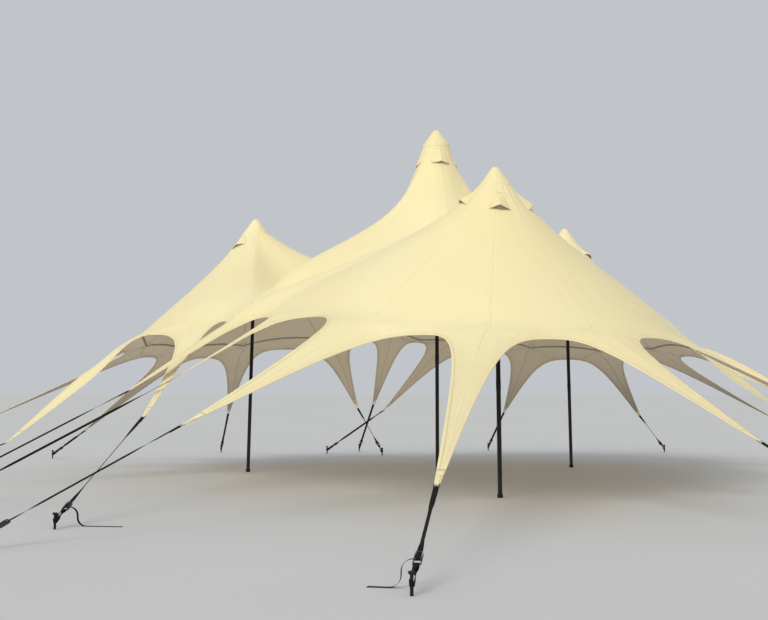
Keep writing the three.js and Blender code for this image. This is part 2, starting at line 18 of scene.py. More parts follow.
import bmesh
import bpy
import numpy as np
from mathutils import Matrix, Vector, noise
from mathutils.bvhtree import BVHTree
from mathutils.kdtree import KDTree

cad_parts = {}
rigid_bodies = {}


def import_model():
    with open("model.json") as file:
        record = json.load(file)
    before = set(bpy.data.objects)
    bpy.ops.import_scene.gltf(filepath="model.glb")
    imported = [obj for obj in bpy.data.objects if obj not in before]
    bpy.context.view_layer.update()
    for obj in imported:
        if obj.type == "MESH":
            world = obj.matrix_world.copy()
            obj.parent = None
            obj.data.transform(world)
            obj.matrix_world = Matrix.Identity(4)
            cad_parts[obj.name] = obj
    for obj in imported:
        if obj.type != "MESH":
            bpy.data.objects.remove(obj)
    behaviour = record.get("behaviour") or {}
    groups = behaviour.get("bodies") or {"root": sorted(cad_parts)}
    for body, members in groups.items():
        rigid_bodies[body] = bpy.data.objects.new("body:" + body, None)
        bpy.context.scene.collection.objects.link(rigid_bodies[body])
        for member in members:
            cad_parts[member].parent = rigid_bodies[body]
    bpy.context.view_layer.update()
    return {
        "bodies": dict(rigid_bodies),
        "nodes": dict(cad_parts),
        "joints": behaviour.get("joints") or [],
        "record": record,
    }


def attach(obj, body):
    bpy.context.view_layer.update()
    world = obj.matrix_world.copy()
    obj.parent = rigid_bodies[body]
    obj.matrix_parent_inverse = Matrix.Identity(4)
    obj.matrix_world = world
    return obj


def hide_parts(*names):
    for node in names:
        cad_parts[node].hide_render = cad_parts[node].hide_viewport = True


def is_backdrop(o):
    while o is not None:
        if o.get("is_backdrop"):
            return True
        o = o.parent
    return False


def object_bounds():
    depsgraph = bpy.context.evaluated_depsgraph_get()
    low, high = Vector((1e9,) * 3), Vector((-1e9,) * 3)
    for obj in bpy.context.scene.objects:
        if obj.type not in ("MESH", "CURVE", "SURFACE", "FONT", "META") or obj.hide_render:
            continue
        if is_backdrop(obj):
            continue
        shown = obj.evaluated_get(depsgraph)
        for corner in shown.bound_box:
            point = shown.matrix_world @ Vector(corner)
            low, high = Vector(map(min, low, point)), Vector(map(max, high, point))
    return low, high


LOG = logging.getLogger("star_tent")
BODY = "root"

Pair = tuple[float, float]
Plan = Pair
Rows = Sequence[Sequence[Vector]]
Colour = tuple[float, float, float]
Shape = bmesh.types.BMesh
Piece = bpy.types.Object
Socket = bpy.types.NodeSocket

CENTRE: Plan = (0.0, 0.0)
CENTRE_PEAK = 6.5
OUTER_PEAK = 5.0
POLE_CIRCLE = 3.75
FOOT_OUTWARD = 0.12
CAP_HEIGHT = 0.28
CAP_RADIUS = 0.24
CROWN_ANGLES = (-108, -77, -39, 0, 39, 77, 108)
CROWN_NEAR = 2.35
CROWN_GROWTH = 0.00010963
WEBBING_INSIDE = 0.25


class Side(Enum):
    """The two faces of the canopy's cloth."""

    TOP = 1
    UNDER = -1


class Slot(Enum):
    """The record's material slots."""

    CANOPY = "canopy_fabric"
    POLE = "pole_paint"
    STRAP = "strap_webbing"


def heading(angle: float) -> Plan:
    """The unit step in plan at an angle in degrees."""
    return math.cos(math.radians(angle)), math.sin(math.radians(angle))


def polar(centre: Plan, angle: float, reach: float) -> Plan:
    """The plan point at an angle in degrees and a reach from a centre."""
    way = heading(angle)
    return centre[0] + reach * way[0], centre[1] + reach * way[1]


def blend(a: Sequence[float], b: Sequence[float], share: float) -> tuple[float, ...]:
    """The point a share of the way from a to b."""
    return tuple(p + (q - p) * share for p, q in zip(a, b))


def move(a: Sequence[float], way: Sequence[float], step: float) -> tuple[float, ...]:
    """A point moved by a step along a way, whose missing coordinates count as nought."""
    return tuple(p + (way[k] if k < len(way) else 0.0) * step for k, p in enumerate(a))


def bezier(points: Sequence[Sequence[float]], t: float) -> tuple[float, ...]:
    """The point at t on a cubic Bezier curve.

    Args:
        points: The curve's four control points.
        t: How far along it, from 0 to 1.

    Returns:
        The point's coordinates.
    """
    s = 1 - t
    weights = (s * s * s, 3 * s * s * t, 3 * s * t * t, t * t * t)
    return tuple(sum(w * p[k] for w, p in zip(weights, points)) for k in range(len(points[0])))


def crown_reach(offset: float) -> float:
    """How far an arch's crown lies from its pole, at an angle from the lobe's axis."""
    return CROWN_NEAR + CROWN_GROWTH * offset * offset


def mesh_of(name: str, shape: Shape) -> bpy.types.Mesh:
    """Turns a shape into a mesh, and frees the shape.

    Args:
        name: The mesh's name.
        shape: The shape, which is used up.

    Returns:
        The mesh.
    """
    mesh = bpy.data.meshes.new(name)
    shape.to_mesh(mesh)
    shape.free()
    return mesh


def placed(name: str, data: bpy.types.ID) -> Piece:
    """A new object in the scene, unturned at the origin.

    Args:
        name: The object's name.
        data: Its mesh, light or camera.

    Returns:
        The object.
    """
    made = bpy.data.objects.new(name, data)
    bpy.context.scene.collection.objects.link(made)
    return made


def tree_of(points: Sequence[Vector]) -> KDTree:
    """A tree that finds the nearest of some points.

    Args:
        points: The points.

    Returns:
        The tree, which gives a point's place in their order.
    """
    tree = KDTree(len(points))
    for k, point in enumerate(points):
        tree.insert(point, k)
    tree.balance()
    return tree


def new_verts(made: dict) -> list[bmesh.types.BMVert]:
    """The points among what an extrusion made."""
    return [item for item in made["geom"] if isinstance(item, bmesh.types.BMVert)]


@dataclass
class Arm:
    """One tapering arm of the canopy, from the webbing line out to its tip.

    Attributes:
        name: The name that its strap carries.
        foot: The plan place of the pole that its reach is measured from.
        axis: Its direction in degrees.
        tip: The reach of its tip.
        height: The height of its tip.
        peg: The reach of its ground peg.
        root: The half-width that its straight sides aim at.
        roll: How steeply it falls to its clockwise side, seen from above.
        start: Where the arm leaves the arches, in plan.
        rows: The net's points, row by row from the webbing line to the tip.
        middle: The points along its middle.
        root_ends: The net's points on its two hems where the seams of its root end.
    """

    name: str
    foot: Plan
    axis: float
    tip: float
    height: float
    peg: float
    root: float = 0.25
    roll: float = 0.0
    start: Plan = CENTRE
    rows: list[list[int]] = field(default_factory=list)
    middle: list[int] = field(default_factory=list)
    root_ends: tuple[int, int] = (0, 0)

    @property
    def tip_point(self) -> Vector:
        """The middle of the arm's end, on the upper face."""
        return Vector((*polar(self.foot, self.axis, self.tip), self.height))

    @property
    def peg_point(self) -> Vector:
        """Where the arm's peg meets the ground."""
        return Vector((*polar(self.foot, self.axis, self.peg), 0.0))

    @property
    def reach(self) -> float:
        """The arm's length in plan, from its start to its tip."""
        return math.dist(self.start, self.tip_point[:2])

    def local(self, x: float, y: float) -> Plan:
        """How far a plan point lies out along the arm from its start, and to its left.

        Args:
            x: The point's x.
            y: Its y.

        Returns:
            The distance out and the distance to the left.
        """
        way = heading(self.axis)
        dx, dy = x - self.start[0], y - self.start[1]
        return dx * way[0] + dy * way[1], dy * way[0] - dx * way[1]


@dataclass
class Lobe:
    """The part of the canopy round one outer pole: its axis, crowns and six arms."""

    name: str
    axis: float
    crowns: Sequence[float]
    arms: list[Arm]
    crown_ids: list[int] = field(default_factory=list)
    crown_ways: list[Plan] = field(default_factory=list)
    fan: list[int] = field(default_factory=list)
    inward: list[int] = field(default_factory=list)
    outward: list[int] = field(default_factory=list)
    side: list[int] = field(default_factory=list)

    @property
    def pole(self) -> Plan:
        """The plan place of the lobe's peak."""
        return polar(CENTRE, self.axis, POLE_CIRCLE)


@dataclass
class Valley:
    """The fold between two lobes, with the one arm that leaves it."""

    arm: Arm
    crown: float
    corner: int = 0


def lobe_of(name: str, axis: float, crowns: Sequence[float], arms: Iterable[tuple]) -> Lobe:
    """A lobe from its row of arms.

    Args:
        name: The lobe's name.
        axis: Its direction from the centre pole, in degrees.
        crowns: The heights of its five arches' crowns.
        arms: For each arm its angle from the axis, tip reach, tip height, peg reach and,
            where it has its own, root half-width and roll.

    Returns:
        The lobe, with its arms placed.
    """
    foot = polar(CENTRE, axis, POLE_CIRCLE)
    made = []
    for k, (offset, *sizes) in enumerate(arms, 1):
        start = polar(foot, axis + offset, crown_reach(offset))
        made.append(Arm(f"{name}_{k}", foot, axis + offset, *sizes, start=start))
    return Lobe(name, axis, crowns, made)


def tent_plan() -> tuple[list[Lobe], list[Valley]]:
    """The tent's three lobes and three valleys, in order round the centre pole.

    Returns:
        The lobes, and the valleys that follow them.
    """
    lobes = [
        lobe_of("front", -79, (2.62, 2.31, 2.25, 2.3, 2.18), (
            (-96, 4.85, 1.74, 7.9, 0.15), (-58, 5.48, 1.2, 7.9, 0.14), (-22, 6.4, 0.74, 7.8),
            (20, 4.8, 1.03, 6.7), (58, 5.1, 1.05, 7.0), (96, 5.1, 1.25, 7.6, 0.25, 0.45))),
        lobe_of("right", 41, (2.25, 2.31, 2.33, 2.32, 2.53), (
            (-96, 4.85, 1.65, 7.8, 0.25, 0.7), (-58, 5.3, 1.0, 7.0), (-20, 5.3, 1.0, 6.8),
            (17, 4.6, 1.01, 6.6), (58, 4.85, 1.07, 6.5), (96, 5.2, 1.14, 7.2))),
        lobe_of("left", 161, (2.53, 2.3, 2.28, 2.31, 2.56), (
            (-96, 4.55, 1.21, 5.95), (-57, 5.1, 1.06, 6.9), (-20, 5.5, 0.7, 6.8),
            (20, 5.2, 1.05, 7.0), (58, 4.85, 0.72, 6.6, 0.25, -0.8), (101, 5.95, 1.232, 8.7, 0.14))),
    ]
    valleys = [
        Valley(Arm("valley_right", CENTRE, -19, 6.3, 1.45, 8.5, 0.25, 0.7), 2.48),
        Valley(Arm("valley_back", CENTRE, 101, 6.5, 1.28, 8.6), 2.69),
        Valley(Arm("valley_left", CENTRE, 221, 6.24, 1.6, 9.4), 2.72),
    ]
    return lobes, valleys


@dataclass(frozen=True)
class Pull:
    """How the cloth's pull spreads round a peak."""

    centre: Plan
    edge: float
    spread: float


class Net:
    """Points in plan, some of them held at their height, and the four-sided cells between them."""

    HOOP_PULL = 3.4
    HOOP_GROWTH = 3.0
    SETTLED = 1e-9

    def __init__(self) -> None:
        """An empty net."""
        self.points: list[tuple[float, float, float]] = []
        self.held: list[bool] = []
        self.cells: list[tuple[tuple[int, ...], Pull | None]] = []
        self.lines: list[tuple[list[int], float]] = []
        self.ties: list[tuple[int, float, float]] = []

    def add(self, point: Sequence[float], held: bool = False) -> int:
        """Adds a point, at height nought where it has none.

        Args:
            point: Its coordinates, two or three.
            held: Whether it stays where it is.

        Returns:
            The point's number.
        """
        self.points.append((point[0], point[1], point[2] if len(point) > 2 else 0.0))
        self.held.append(held)
        return len(self.points) - 1

    def strip(self, upper: Sequence[int], lower: Sequence[int], pull: Pull | None = None) -> None:
        """Adds the cells between two rows of points, the upper one nearer the peak."""
        for k in range(len(upper) - 1):
            self.cells.append(((upper[k], lower[k], lower[k + 1], upper[k + 1]), pull))

    def _pulls(self) -> tuple[np.ndarray, np.ndarray, np.ndarray]:
        """How hard each pair of neighbours pulls.

        Returns:
            The first and second point of each pair, and its pull.
        """
        plan = np.array(self.points)[:, :2]
        first, second, force = [], [], []

        def far(a: int, b: int) -> float:
            """The distance in plan between two points."""
            return float(np.hypot(*(plan[a] - plan[b])))

        def pair(a: int, b: int, pull: float) -> None:
            """Notes a line between two points and its pull.

            Args:
                a: One end's number.
                b: The other's.
                pull: The force per length.
            """
            first.append(a)
            second.append(b)
            force.append(pull)

        for (a, b, c, d), pull in self.cells:
            down = (far(a, b) + far(d, c)) / 2
            across = (far(a, d) + far(b, c)) / 2
            down_pull, hoop_pull = across / down, down / across
            if pull:
                near = float(np.hypot(*(plan[[a, b, c, d]].mean(axis=0) - pull.centre))) / pull.edge
                down_pull *= near ** (pull.spread - 1)
                hoop_pull *= self.HOOP_PULL * near**self.HOOP_GROWTH
            for p, q in ((a, b), (d, c)):
                pair(p, q, down_pull / 2)
            for p, q in ((a, d), (b, c)):
                pair(p, q, hoop_pull / 2)
        for ids, pull in self.lines:
            for a, b in zip(ids, ids[1:]):
                pair(a, b, pull / far(a, b))
        return np.array(first), np.array(second), np.array(force)

    def settle(self) -> np.ndarray:
        """Settles the free points' heights, by conjugate gradients, to where all is in balance.

        Returns:
            The points, one row each.
        """
        points = np.array(self.points)
        count = len(points)
        first, second, pull = self._pulls()
        held = np.array(self.held)
        tie, lift = np.zeros(count), np.zeros(count)
        for number, height, strength in self.ties:
            tie[number] += strength
            lift[number] += strength * height

        def imbalance(values: np.ndarray, rest: float) -> np.ndarray:
            """The upward pull that is left on each point.

            Args:
                values: The points' heights.
                rest: The share of the ties' own lift that counts.

            Returns:
                The pulls, nought where a point is held.
            """
            force = pull * (values[second] - values[first])
            total = np.bincount(first, force, count) - np.bincount(second, force, count)
            total += rest * lift - tie * values
            total[held] = 0
            return total

        heights = points[:, 2].copy()
        residual = imbalance(heights, 1.0)
        way = residual.copy()
        energy = residual @ residual
        for _ in range(4 * count):
            if energy < self.SETTLED:
                break
            change = imbalance(way, 0.0)
            step = energy / -(way @ change)
            heights += step * way
            residual += step * change
            following = residual @ residual
            way = residual + (following / energy) * way
            energy = following
        points[:, 2] = heights
        return points


@dataclass
class CanopyNet:
    """Draws the canopy's net round the poles and out along the arms."""

    lobes: list[Lobe]
    valleys: list[Valley]
    columns: int = 8
    side_columns: int = 16
    rings_to_edge: int = 10
    outer_rings: Sequence[float] = (0.29, 0.34, 0.44, 0.54)
    centre_rings: Sequence[float] = (0.27, 0.31, 0.36)
    steps: Sequence[float] = (0.12, 0.21, 0.3, 0.4, 0.5, 0.6, 0.7, 0.8, 0.9, 1.0)
    outer_spread: float = 0.27
    centre_spread: float = 0.8
    webbing_pull: float = 2.3
    hem_pull: float = 6.0
    hem_columns: int = 4
    webbing_rise: float = 0.115
    tip_half: float = 0.026
    knuckle: float = 0.15
    corner_reach: float = 0.92
    leg_reach: float = 0.9
    bow_fade: float = 1.5
    turn: float = 60.0
    root_row: int = 3

    def __post_init__(self) -> None:
        """Starts with an empty net."""
        self.net = Net()
        self.centre_rows: list[list[int]] = []
        self.lobe_rows: list[list[list[int]]] = []

    @property
    def arms(self) -> list[Arm]:
        """All the arms, lobe by lobe and then the valleys'."""
        return [arm for lobe in self.lobes for arm in lobe.arms] + [valley.arm for valley in self.valleys]

    def _valley_reach(self, reach: float) -> float:
        """How far along a valley the line between two lobes' last points crosses it.

        Args:
            reach: How far the last points lie from their poles.

        Returns:
            The distance along the valley from the centre.
        """
        last = move(polar(CENTRE, CROWN_ANGLES[-1], reach), (1, 0), POLE_CIRCLE)
        way = heading(self.turn)
        return last[0] * way[0] + last[1] * way[1]

    def _webbing(self, lobe: Lobe, offset: float) -> Plan:
        """The plan point of a lobe's webbing line at an angle from its axis."""
        return polar(lobe.pole, lobe.axis + offset, crown_reach(offset) - WEBBING_INSIDE)

    def _into(self, corner: int, point: int) -> list[int]:
        """The net's points between a valley's corner and the end of a lobe's fan.

        Args:
            corner: The corner's number.
            point: The number of the fan's end.

        Returns:
            Their numbers.
        """
        half = self.columns // 2
        ends = self.net.points[corner], self.net.points[point]
        return [self.net.add(blend(*ends, step / half)) for step in range(1, half)]

    def _draw_lobe(self, lobe: Lobe, before: Valley, after: Valley) -> None:
        """Draws a lobe's crowns, its webbing line and its side towards the centre.

        Args:
            lobe: The lobe to draw.
            before: The valley on its clockwise side.
            after: The valley on its other side.
        """
        net = self.net
        heights = (before.crown, *lobe.crowns, after.crown)
        lobe.crown_ids = [
            net.add((*polar(lobe.pole, lobe.axis + offset, crown_reach(offset)), height), True)
            for offset, height in zip(CROWN_ANGLES, heights)
        ]
        starts = [arm.start for arm in (before.arm, *lobe.arms, after.arm)]
        for p, q in zip(starts, starts[1:]):
            step = math.dist(p, q)
            lobe.crown_ways.append(((q[0] - p[0]) / step, (q[1] - p[1]) / step))
        for low, high in zip(CROWN_ANGLES, CROWN_ANGLES[1:]):
            for step in range(self.columns):
                offset = low + (high - low) * step / self.columns
                lobe.fan.append(net.add(self._webbing(lobe, offset)))
        lobe.fan.append(net.add(self._webbing(lobe, CROWN_ANGLES[-1])))
        lobe.inward = self._into(before.corner, lobe.fan[0])
        lobe.outward = self._into(after.corner, lobe.fan[-1])[::-1]
        line = math.hypot(*net.points[before.corner][:2]) * math.cos(math.radians(self.turn))
        turns = [self.turn * (2 * k / self.side_columns - 1) for k in range(1, self.side_columns)]
        between = [net.add(polar(CENTRE, lobe.axis + t, line / math.cos(math.radians(t)))) for t in turns]
        lobe.side = [before.corner, *between, after.corner]

    def _peak_rows(
        self, centre: Plan, peak: float, rings: Sequence[float], edge: list[int]
    ) -> list[list[int]]:
        """Rows of points round a peak, from its cap's edge out to a closed line of points.

        Args:
            centre: The peak's plan place.
            peak: Its height.
            rings: The reach of the rows near the cap.
            edge: The points of the closed line.

        Returns:
            The rows, from the cap outwards.
        """
        columns = []
        for number in edge:
            place = self.net.points[number][:2]
            far, last, count = math.dist(place, centre), rings[-1], self.rings_to_edge
            spread = [last + (far - last) * k / count for k in range(1, count)]
            top = self.net.add((*blend(centre, place, CAP_RADIUS / far), peak - CAP_HEIGHT), True)
            column = [self.net.add(blend(centre, place, reach / far)) for reach in (*rings, *spread)]
            columns.append([top, *column, number])
        return [list(row) for row in zip(*columns)]

    def _strip_peak(self, rows: list[list[int]], pull: Pull) -> None:
        """Adds the closed strips of cells between a peak's rows."""
        for upper, lower in zip(rows, rows[1:]):
            self.net.strip([*upper, upper[0]], [*lower, lower[0]], pull)

    def _draw_arm(self, arm: Arm, root: list[int], crowns: Sequence[int], ways: Sequence[Plan]) -> None:
        """Draws an arm: a band from the webbing line to two crowns, then rows that narrow.

        Args:
            arm: The arm.
            root: Its points on the webbing line.
            crowns: The crowns of the arches on its two sides.
            ways: The way that the arches run at the crowns.
        """
        net = self.net
        along = heading(arm.axis)
        across = (-along[1], along[0])
        tip = tuple(arm.tip_point)
        right, left = (net.points[number] for number in crowns)

        def edge_of(crown: Sequence[float], way: Plan, side: int) -> list[tuple[float, ...]]:
            """One side of the arm, from an arch's crown to the tip.

            Args:
                crown: The crown.
                way: The arch's direction there.
                side: 1 or -1, the arm's side.

            Returns:
                The curve's four control points.
            """
            knee = (*move(arm.start, across, side * arm.root), crown[2])
            end = move(tip, across, side * self.tip_half)
            reach = math.dist(knee[:2], crown[:2]) * self.corner_reach
            return [crown, move(crown, way, -side * reach), blend(end, knee, self.leg_reach), end]

        edges = edge_of(right, ways[0], -1), edge_of(left, ways[1], 1)
        span = math.dist(right[:2], left[:2]) / 3
        arch = [right, move(right, ways[0], span), move(left, ways[1], -span), left]
        rows = [root]
        for t in (0.0, *self.steps):
            ends = bezier(edges[0], t), bezier(edges[1], t)
            row = []
            for k in range(len(root)):
                share = k / (len(root) - 1)
                if t == 0 and share in (0.0, 1.0):
                    row.append(crowns[int(share)])
                    continue
                straight, curved = blend(right, left, share), bezier(arch, share)
                fade = (1 - t) ** self.bow_fade
                point = [p + (c - s) * fade for p, c, s in zip(blend(*ends, share), curved, straight)]
                row.append(net.add(point, share in (0.0, 1.0) or t == 1.0))
            rows.append(row)
        for upper, lower in zip(rows, rows[1:]):
            net.strip(upper, lower)
        arm.rows, arm.middle = rows, [row[len(row) // 2] for row in rows]
        arm.root_ends = rows[self.root_row][0], rows[self.root_row][-1]

    def _tie_hem(self, lobe: Lobe, before: Valley, after: Valley) -> None:
        """Draws a lobe's webbing line down towards the crowns of its arches.

        Args:
            lobe: The lobe.
            before: The valley before it.
            after: The valley after it.
        """
        line = [before.corner, *lobe.inward, *lobe.fan, *lobe.outward, after.corner]
        self.net.lines.append((line, self.webbing_pull))
        levels = [before.crown, before.crown, *lobe.crowns, after.crown, after.crown]
        for k, number in enumerate(line):
            place = (k + self.columns / 2) / self.columns
            crown = min(int(place), len(levels) - 2)
            height = levels[crown] + (levels[crown + 1] - levels[crown]) * (place - crown)
            strength = self.hem_pull * self.hem_columns / self.columns
            self.net.ties.append((number, height + self.webbing_rise, strength))

    def settle(self) -> tuple[np.ndarray, list[tuple[int, ...]]]:
        """Draws the whole net and settles it.

        Returns:
            The points, and the four corners of each cell.
        """
        net, count = self.net, len(self.valleys)
        corner = self._valley_reach(crown_reach(CROWN_ANGLES[-1]) - WEBBING_INSIDE)
        crown = self._valley_reach(crown_reach(CROWN_ANGLES[-1]))
        for valley in self.valleys:
            valley.arm.start = polar(CENTRE, valley.arm.axis, crown + self.knuckle)
            valley.corner = net.add(polar(CENTRE, valley.arm.axis, corner))
        for k, lobe in enumerate(self.lobes):
            before, after = self.valleys[(k - 1) % count], self.valleys[k]
            self._draw_lobe(lobe, before, after)
            self._tie_hem(lobe, before, after)
        for lobe in self.lobes:
            edge = [lobe.side[0], *lobe.inward, *lobe.fan, *lobe.outward, *lobe.side[:0:-1]]
            rows = self._peak_rows(lobe.pole, OUTER_PEAK, self.outer_rings, edge)
            self._strip_peak(rows, Pull(lobe.pole, CROWN_NEAR, self.outer_spread))
            self.lobe_rows.append(rows)
            for k, arm in enumerate(lobe.arms):
                root = lobe.fan[k * self.columns : (k + 1) * self.columns + 1]
                self._draw_arm(arm, root, lobe.crown_ids[k : k + 2], lobe.crown_ways[k : k + 2])
        edge = [number for lobe in self.lobes for number in lobe.side[:-1]]
        self.centre_rows = self._peak_rows(CENTRE, CENTRE_PEAK, self.centre_rings, edge)
        self._strip_peak(self.centre_rows, Pull(CENTRE, corner / 2, self.centre_spread))
        for k, valley in enumerate(self.valleys):
            lobe, after = self.lobes[k], self.lobes[(k + 1) % count]
            root = [lobe.fan[-1], *lobe.outward, valley.corner, *after.inward, after.fan[0]]
            crowns = lobe.crown_ids[-1], after.crown_ids[0]
            self._draw_arm(valley.arm, root, crowns, (lobe.crown_ways[-1], after.crown_ways[0]))
        return net.settle(), [corners for corners, _ in net.cells]


class Shader:
    """A node material while it is put together."""

    def __init__(self, name: str, roughness: float, metallic: float = 0.0) -> None:
        """Starts a material on one plain shader.

        Args:
            name: The material's name.
            roughness: The shader's own roughness.
            metallic: How metallic it is.
        """
        self.material = bpy.data.materials.new(name)
        self.material.use_nodes = True
        self.tree = self.material.node_tree
        self.body = self.tree.nodes["Principled BSDF"]
        self.body.inputs["Roughness"].default_value = roughness
        self.body.inputs["Metallic"].default_value = metallic

    def node(self, kind: str, **sockets: object) -> bpy.types.Node:
        """Adds a node and sets or links its inputs.

        Args:
            kind: The node's type, without its prefix.
            **sockets: A value or an output for each input, by name or, as i0, i1, by number.

        Returns:
            The node.
        """
        made = self.tree.nodes.new("ShaderNode" + kind)
        for name, value in sockets.items():
            number = name[1:]
            key = int(number) if name[0] == "i" and number.isdigit() else name
            self._feed(made.inputs[key], value)
        return made

    def _feed(self, socket: Socket, value: object) -> None:
        """Sets a socket to a value, or links an output to it.

        Args:
            socket: The input.
            value: A plain value or another node's output.
        """
        if isinstance(value, Socket):
            self.tree.links.new(value, socket)
        else:
            socket.default_value = value

    def set(self, name: str, value: object) -> None:
        """Sets or links one of the shader's own inputs."""
        self._feed(self.body.inputs[name], value)

    def place(self, source: str = "Object", scale: Sequence[float] = (1, 1, 1)) -> Socket:
        """The point being shaded, in the piece's own space or on its UV map."""
        coordinates = self.node("TexCoord").outputs[source]
        return self.node("Mapping", Vector=coordinates, Scale=tuple(scale)).outputs["Vector"]

    def axes(self, vector: Socket) -> tuple[Socket, ...]:
        """The three parts of a vector."""
        return tuple(self.node("SeparateXYZ", Vector=vector).outputs)

    def noise(self, vector: Socket, scale: float, detail: float) -> Socket:
        """Soft noise from nought to one."""
        return self.node("TexNoise", Vector=vector, Scale=scale, Detail=detail).outputs[0]

    def sum(self, operation: str, a: object, b: object = 0.0) -> Socket:
        """The result of a sum on one or two values.

        Args:
            operation: The sum's name in Blender.
            a: The first value.
            b: The second, where it takes one.

        Returns:
            The result's socket.
        """
        made = self.node("Math", i0=a, i1=b)
        made.operation = operation
        return made.outputs[0]

    def add(self, a: object, b: object) -> Socket:
        """Two values added."""
        return self.sum("ADD", a, b)

    def times(self, a: object, b: object) -> Socket:
        """One value times another."""
        return self.sum("MULTIPLY", a, b)

    def span(self, value: Socket, low: float, high: float, to: Pair = (0.0, 1.0)) -> Socket:
        """A value's place between low and high, clamped and spread over a new range.

        Args:
            value: The value.
            low: Where the old range starts.
            high: Where it ends.
            to: The new range.

        Returns:
            The new value's socket.
        """
        ends = {"From Min": low, "From Max": high, "To Min": to[0], "To Max": to[1]}
        made = self.node("MapRange", Value=value, **ends)
        made.clamp = True
        return made.outputs["Result"]

    def mix(self, share: object, a: object, b: object) -> Socket:
        """A colour between a and b.

        Args:
            share: How much of b it has, from 0 to 1.
            a: One colour.
            b: The other.

        Returns:
            The colour's socket.
        """
        made = self.tree.nodes.new("ShaderNodeMix")
        made.data_type = "RGBA"
        for number, value in ((0, share), (6, a), (7, b)):
            self._feed(made.inputs[number], (*value, 1.0) if isinstance(value, tuple) else value)
        return made.outputs[2]

    def ripple(self, value: Socket, wave: float) -> Socket:
        """A sine from minus one to one along a coordinate, at a wavelength in its unit."""
        return self.sum("SINE", self.times(value, math.tau / wave))

    def bump(self, height: Socket, strength: float, distance: float) -> None:
        """Lays a fine relief on the shader."""
        sockets = {"Height": height, "Strength": strength, "Distance": distance}
        self.set("Normal", self.node("Bump", **sockets).outputs["Normal"])


@dataclass(frozen=True)
class StretchCloth:
    """Knitted stretch cloth with a polymer coat: nearly smooth, with soft tone and a fine knit."""

    name: str
    light: Colour
    shade: Colour
    soil: Colour
    roughness: float = 0.62
    knit: float = 0.005

    def build(self) -> bpy.types.Material:
        """Makes the material.

        Returns:
            The material, ready to use.
        """
        sh = Shader(self.name, self.roughness)
        place = sh.place()
        x, y, z = sh.axes(place)
        broad = sh.span(sh.noise(place, 0.33, 2.0), 0.35, 0.65)
        colour = sh.mix(broad, self.light, self.shade)
        cloudy = sh.span(sh.noise(place, 2.1, 5.0), 0.45, 0.8, (0.0, 0.28))
        colour = sh.mix(cloudy, colour, self.shade)
        worn = sh.node("Attribute")
        worn.attribute_name = "soil"
        speckle = sh.span(sh.noise(place, 14.0, 6.0), 0.3, 0.7, (0.25, 1.0))
        dust = sh.times(sh.times(worn.outputs["Fac"], speckle), 0.42)
        sh.set("Base Color", sh.mix(dust, colour, self.soil))
        sh.set("Roughness", sh.span(cloudy, 0.0, 0.28, (self.roughness, self.roughness + 0.12)))
        sh.set("Sheen Weight", 0.12)
        sh.set("Sheen Roughness", 0.45)
        sh.set("Specular IOR Level", 0.32)
        wales = sh.ripple(sh.add(x, sh.times(z, 0.5)), self.knit)
        courses = sh.ripple(sh.add(y, sh.times(z, 0.5)), self.knit * 0.8)
        loops = sh.times(wales, courses)
        crinkle = sh.noise(place, 26.0, 3.0)
        sh.bump(sh.add(loops, sh.times(crinkle, 4.0)), 0.22, 0.0008)
        return sh.material


@dataclass(frozen=True)
class SewnTape:
    """A strip of cloth with rows of stitches along it, read from its UV map."""

    name: str
    cloth: Colour
    thread: Colour
    rows: tuple[float, ...] = (0.16, 0.84)
    stitch: float = 0.009
    roughness: float = 0.68
    relief: float = 0.3

    def build(self) -> bpy.types.Material:
        """Makes the material.

        Returns:
            The material, ready to use.
        """
        sh = Shader(self.name, self.roughness)
        along, across, _ = sh.axes(sh.place("UV"))
        tone = sh.noise(sh.place(), 3.0, 4.0)
        deep = tuple(0.95 * part for part in self.cloth)
        colour = sh.mix(sh.span(tone, 0.35, 0.7), self.cloth, deep)
        dashes = sh.span(sh.ripple(along, self.stitch), -0.3, 0.1)
        seen: object = 0.0
        for row in self.rows:
            off = sh.sum("ABSOLUTE", sh.sum("SUBTRACT", across, row))
            seen = sh.sum("MAXIMUM", seen, sh.span(off, 0.025, 0.05, (1.0, 0.0)))
        stitches = sh.times(seen, dashes)
        sh.set("Base Color", sh.mix(stitches, colour, self.thread))
        sh.set("Sheen Weight", 0.1)
        sh.set("Specular IOR Level", 0.3)
        pucker = sh.times(seen, -0.7)
        weave = sh.times(sh.ripple(along, 0.0022), 0.18)
        relief = sh.add(sh.add(sh.times(stitches, 1.3), pucker), weave)
        sh.bump(relief, self.relief, 0.0008)
        return sh.material


@dataclass(frozen=True)
class Webbing:
    """Woven polyester webbing, ribbed along its length, read from its UV map."""

    name: str
    colour: Colour
    worn: Colour
    ribs: int = 11
    pick: float = 0.003

    def build(self) -> bpy.types.Material:
        """Makes the material.

        Returns:
            The material, ready to use.
        """
        sh = Shader(self.name, 0.78)
        along, across, _ = sh.axes(sh.place("UV"))
        place = sh.place()
        rib = sh.ripple(across, 1.0 / self.ribs)
        twill = sh.ripple(sh.add(along, sh.times(across, 4 * self.pick)), self.pick)
        edge = sh.span(sh.sum("ABSOLUTE", sh.sum("SUBTRACT", across, 0.5)), 0.42, 0.5, (0.0, 0.5))
        dusty = sh.span(sh.noise(place, 9.0, 5.0), 0.45, 0.75, (0.0, 0.4))
        raised = sh.span(sh.times(rib, twill), -0.2, 1.0, (0.0, 0.3))
        share = sh.sum("MAXIMUM", sh.add(dusty, raised), edge)
        sh.set("Base Color", sh.mix(share, self.colour, self.worn))
        sh.set("Specular IOR Level", 0.15)
        sh.bump(sh.add(rib, sh.times(twill, 0.5)), 0.6, 0.0006)
        return sh.material


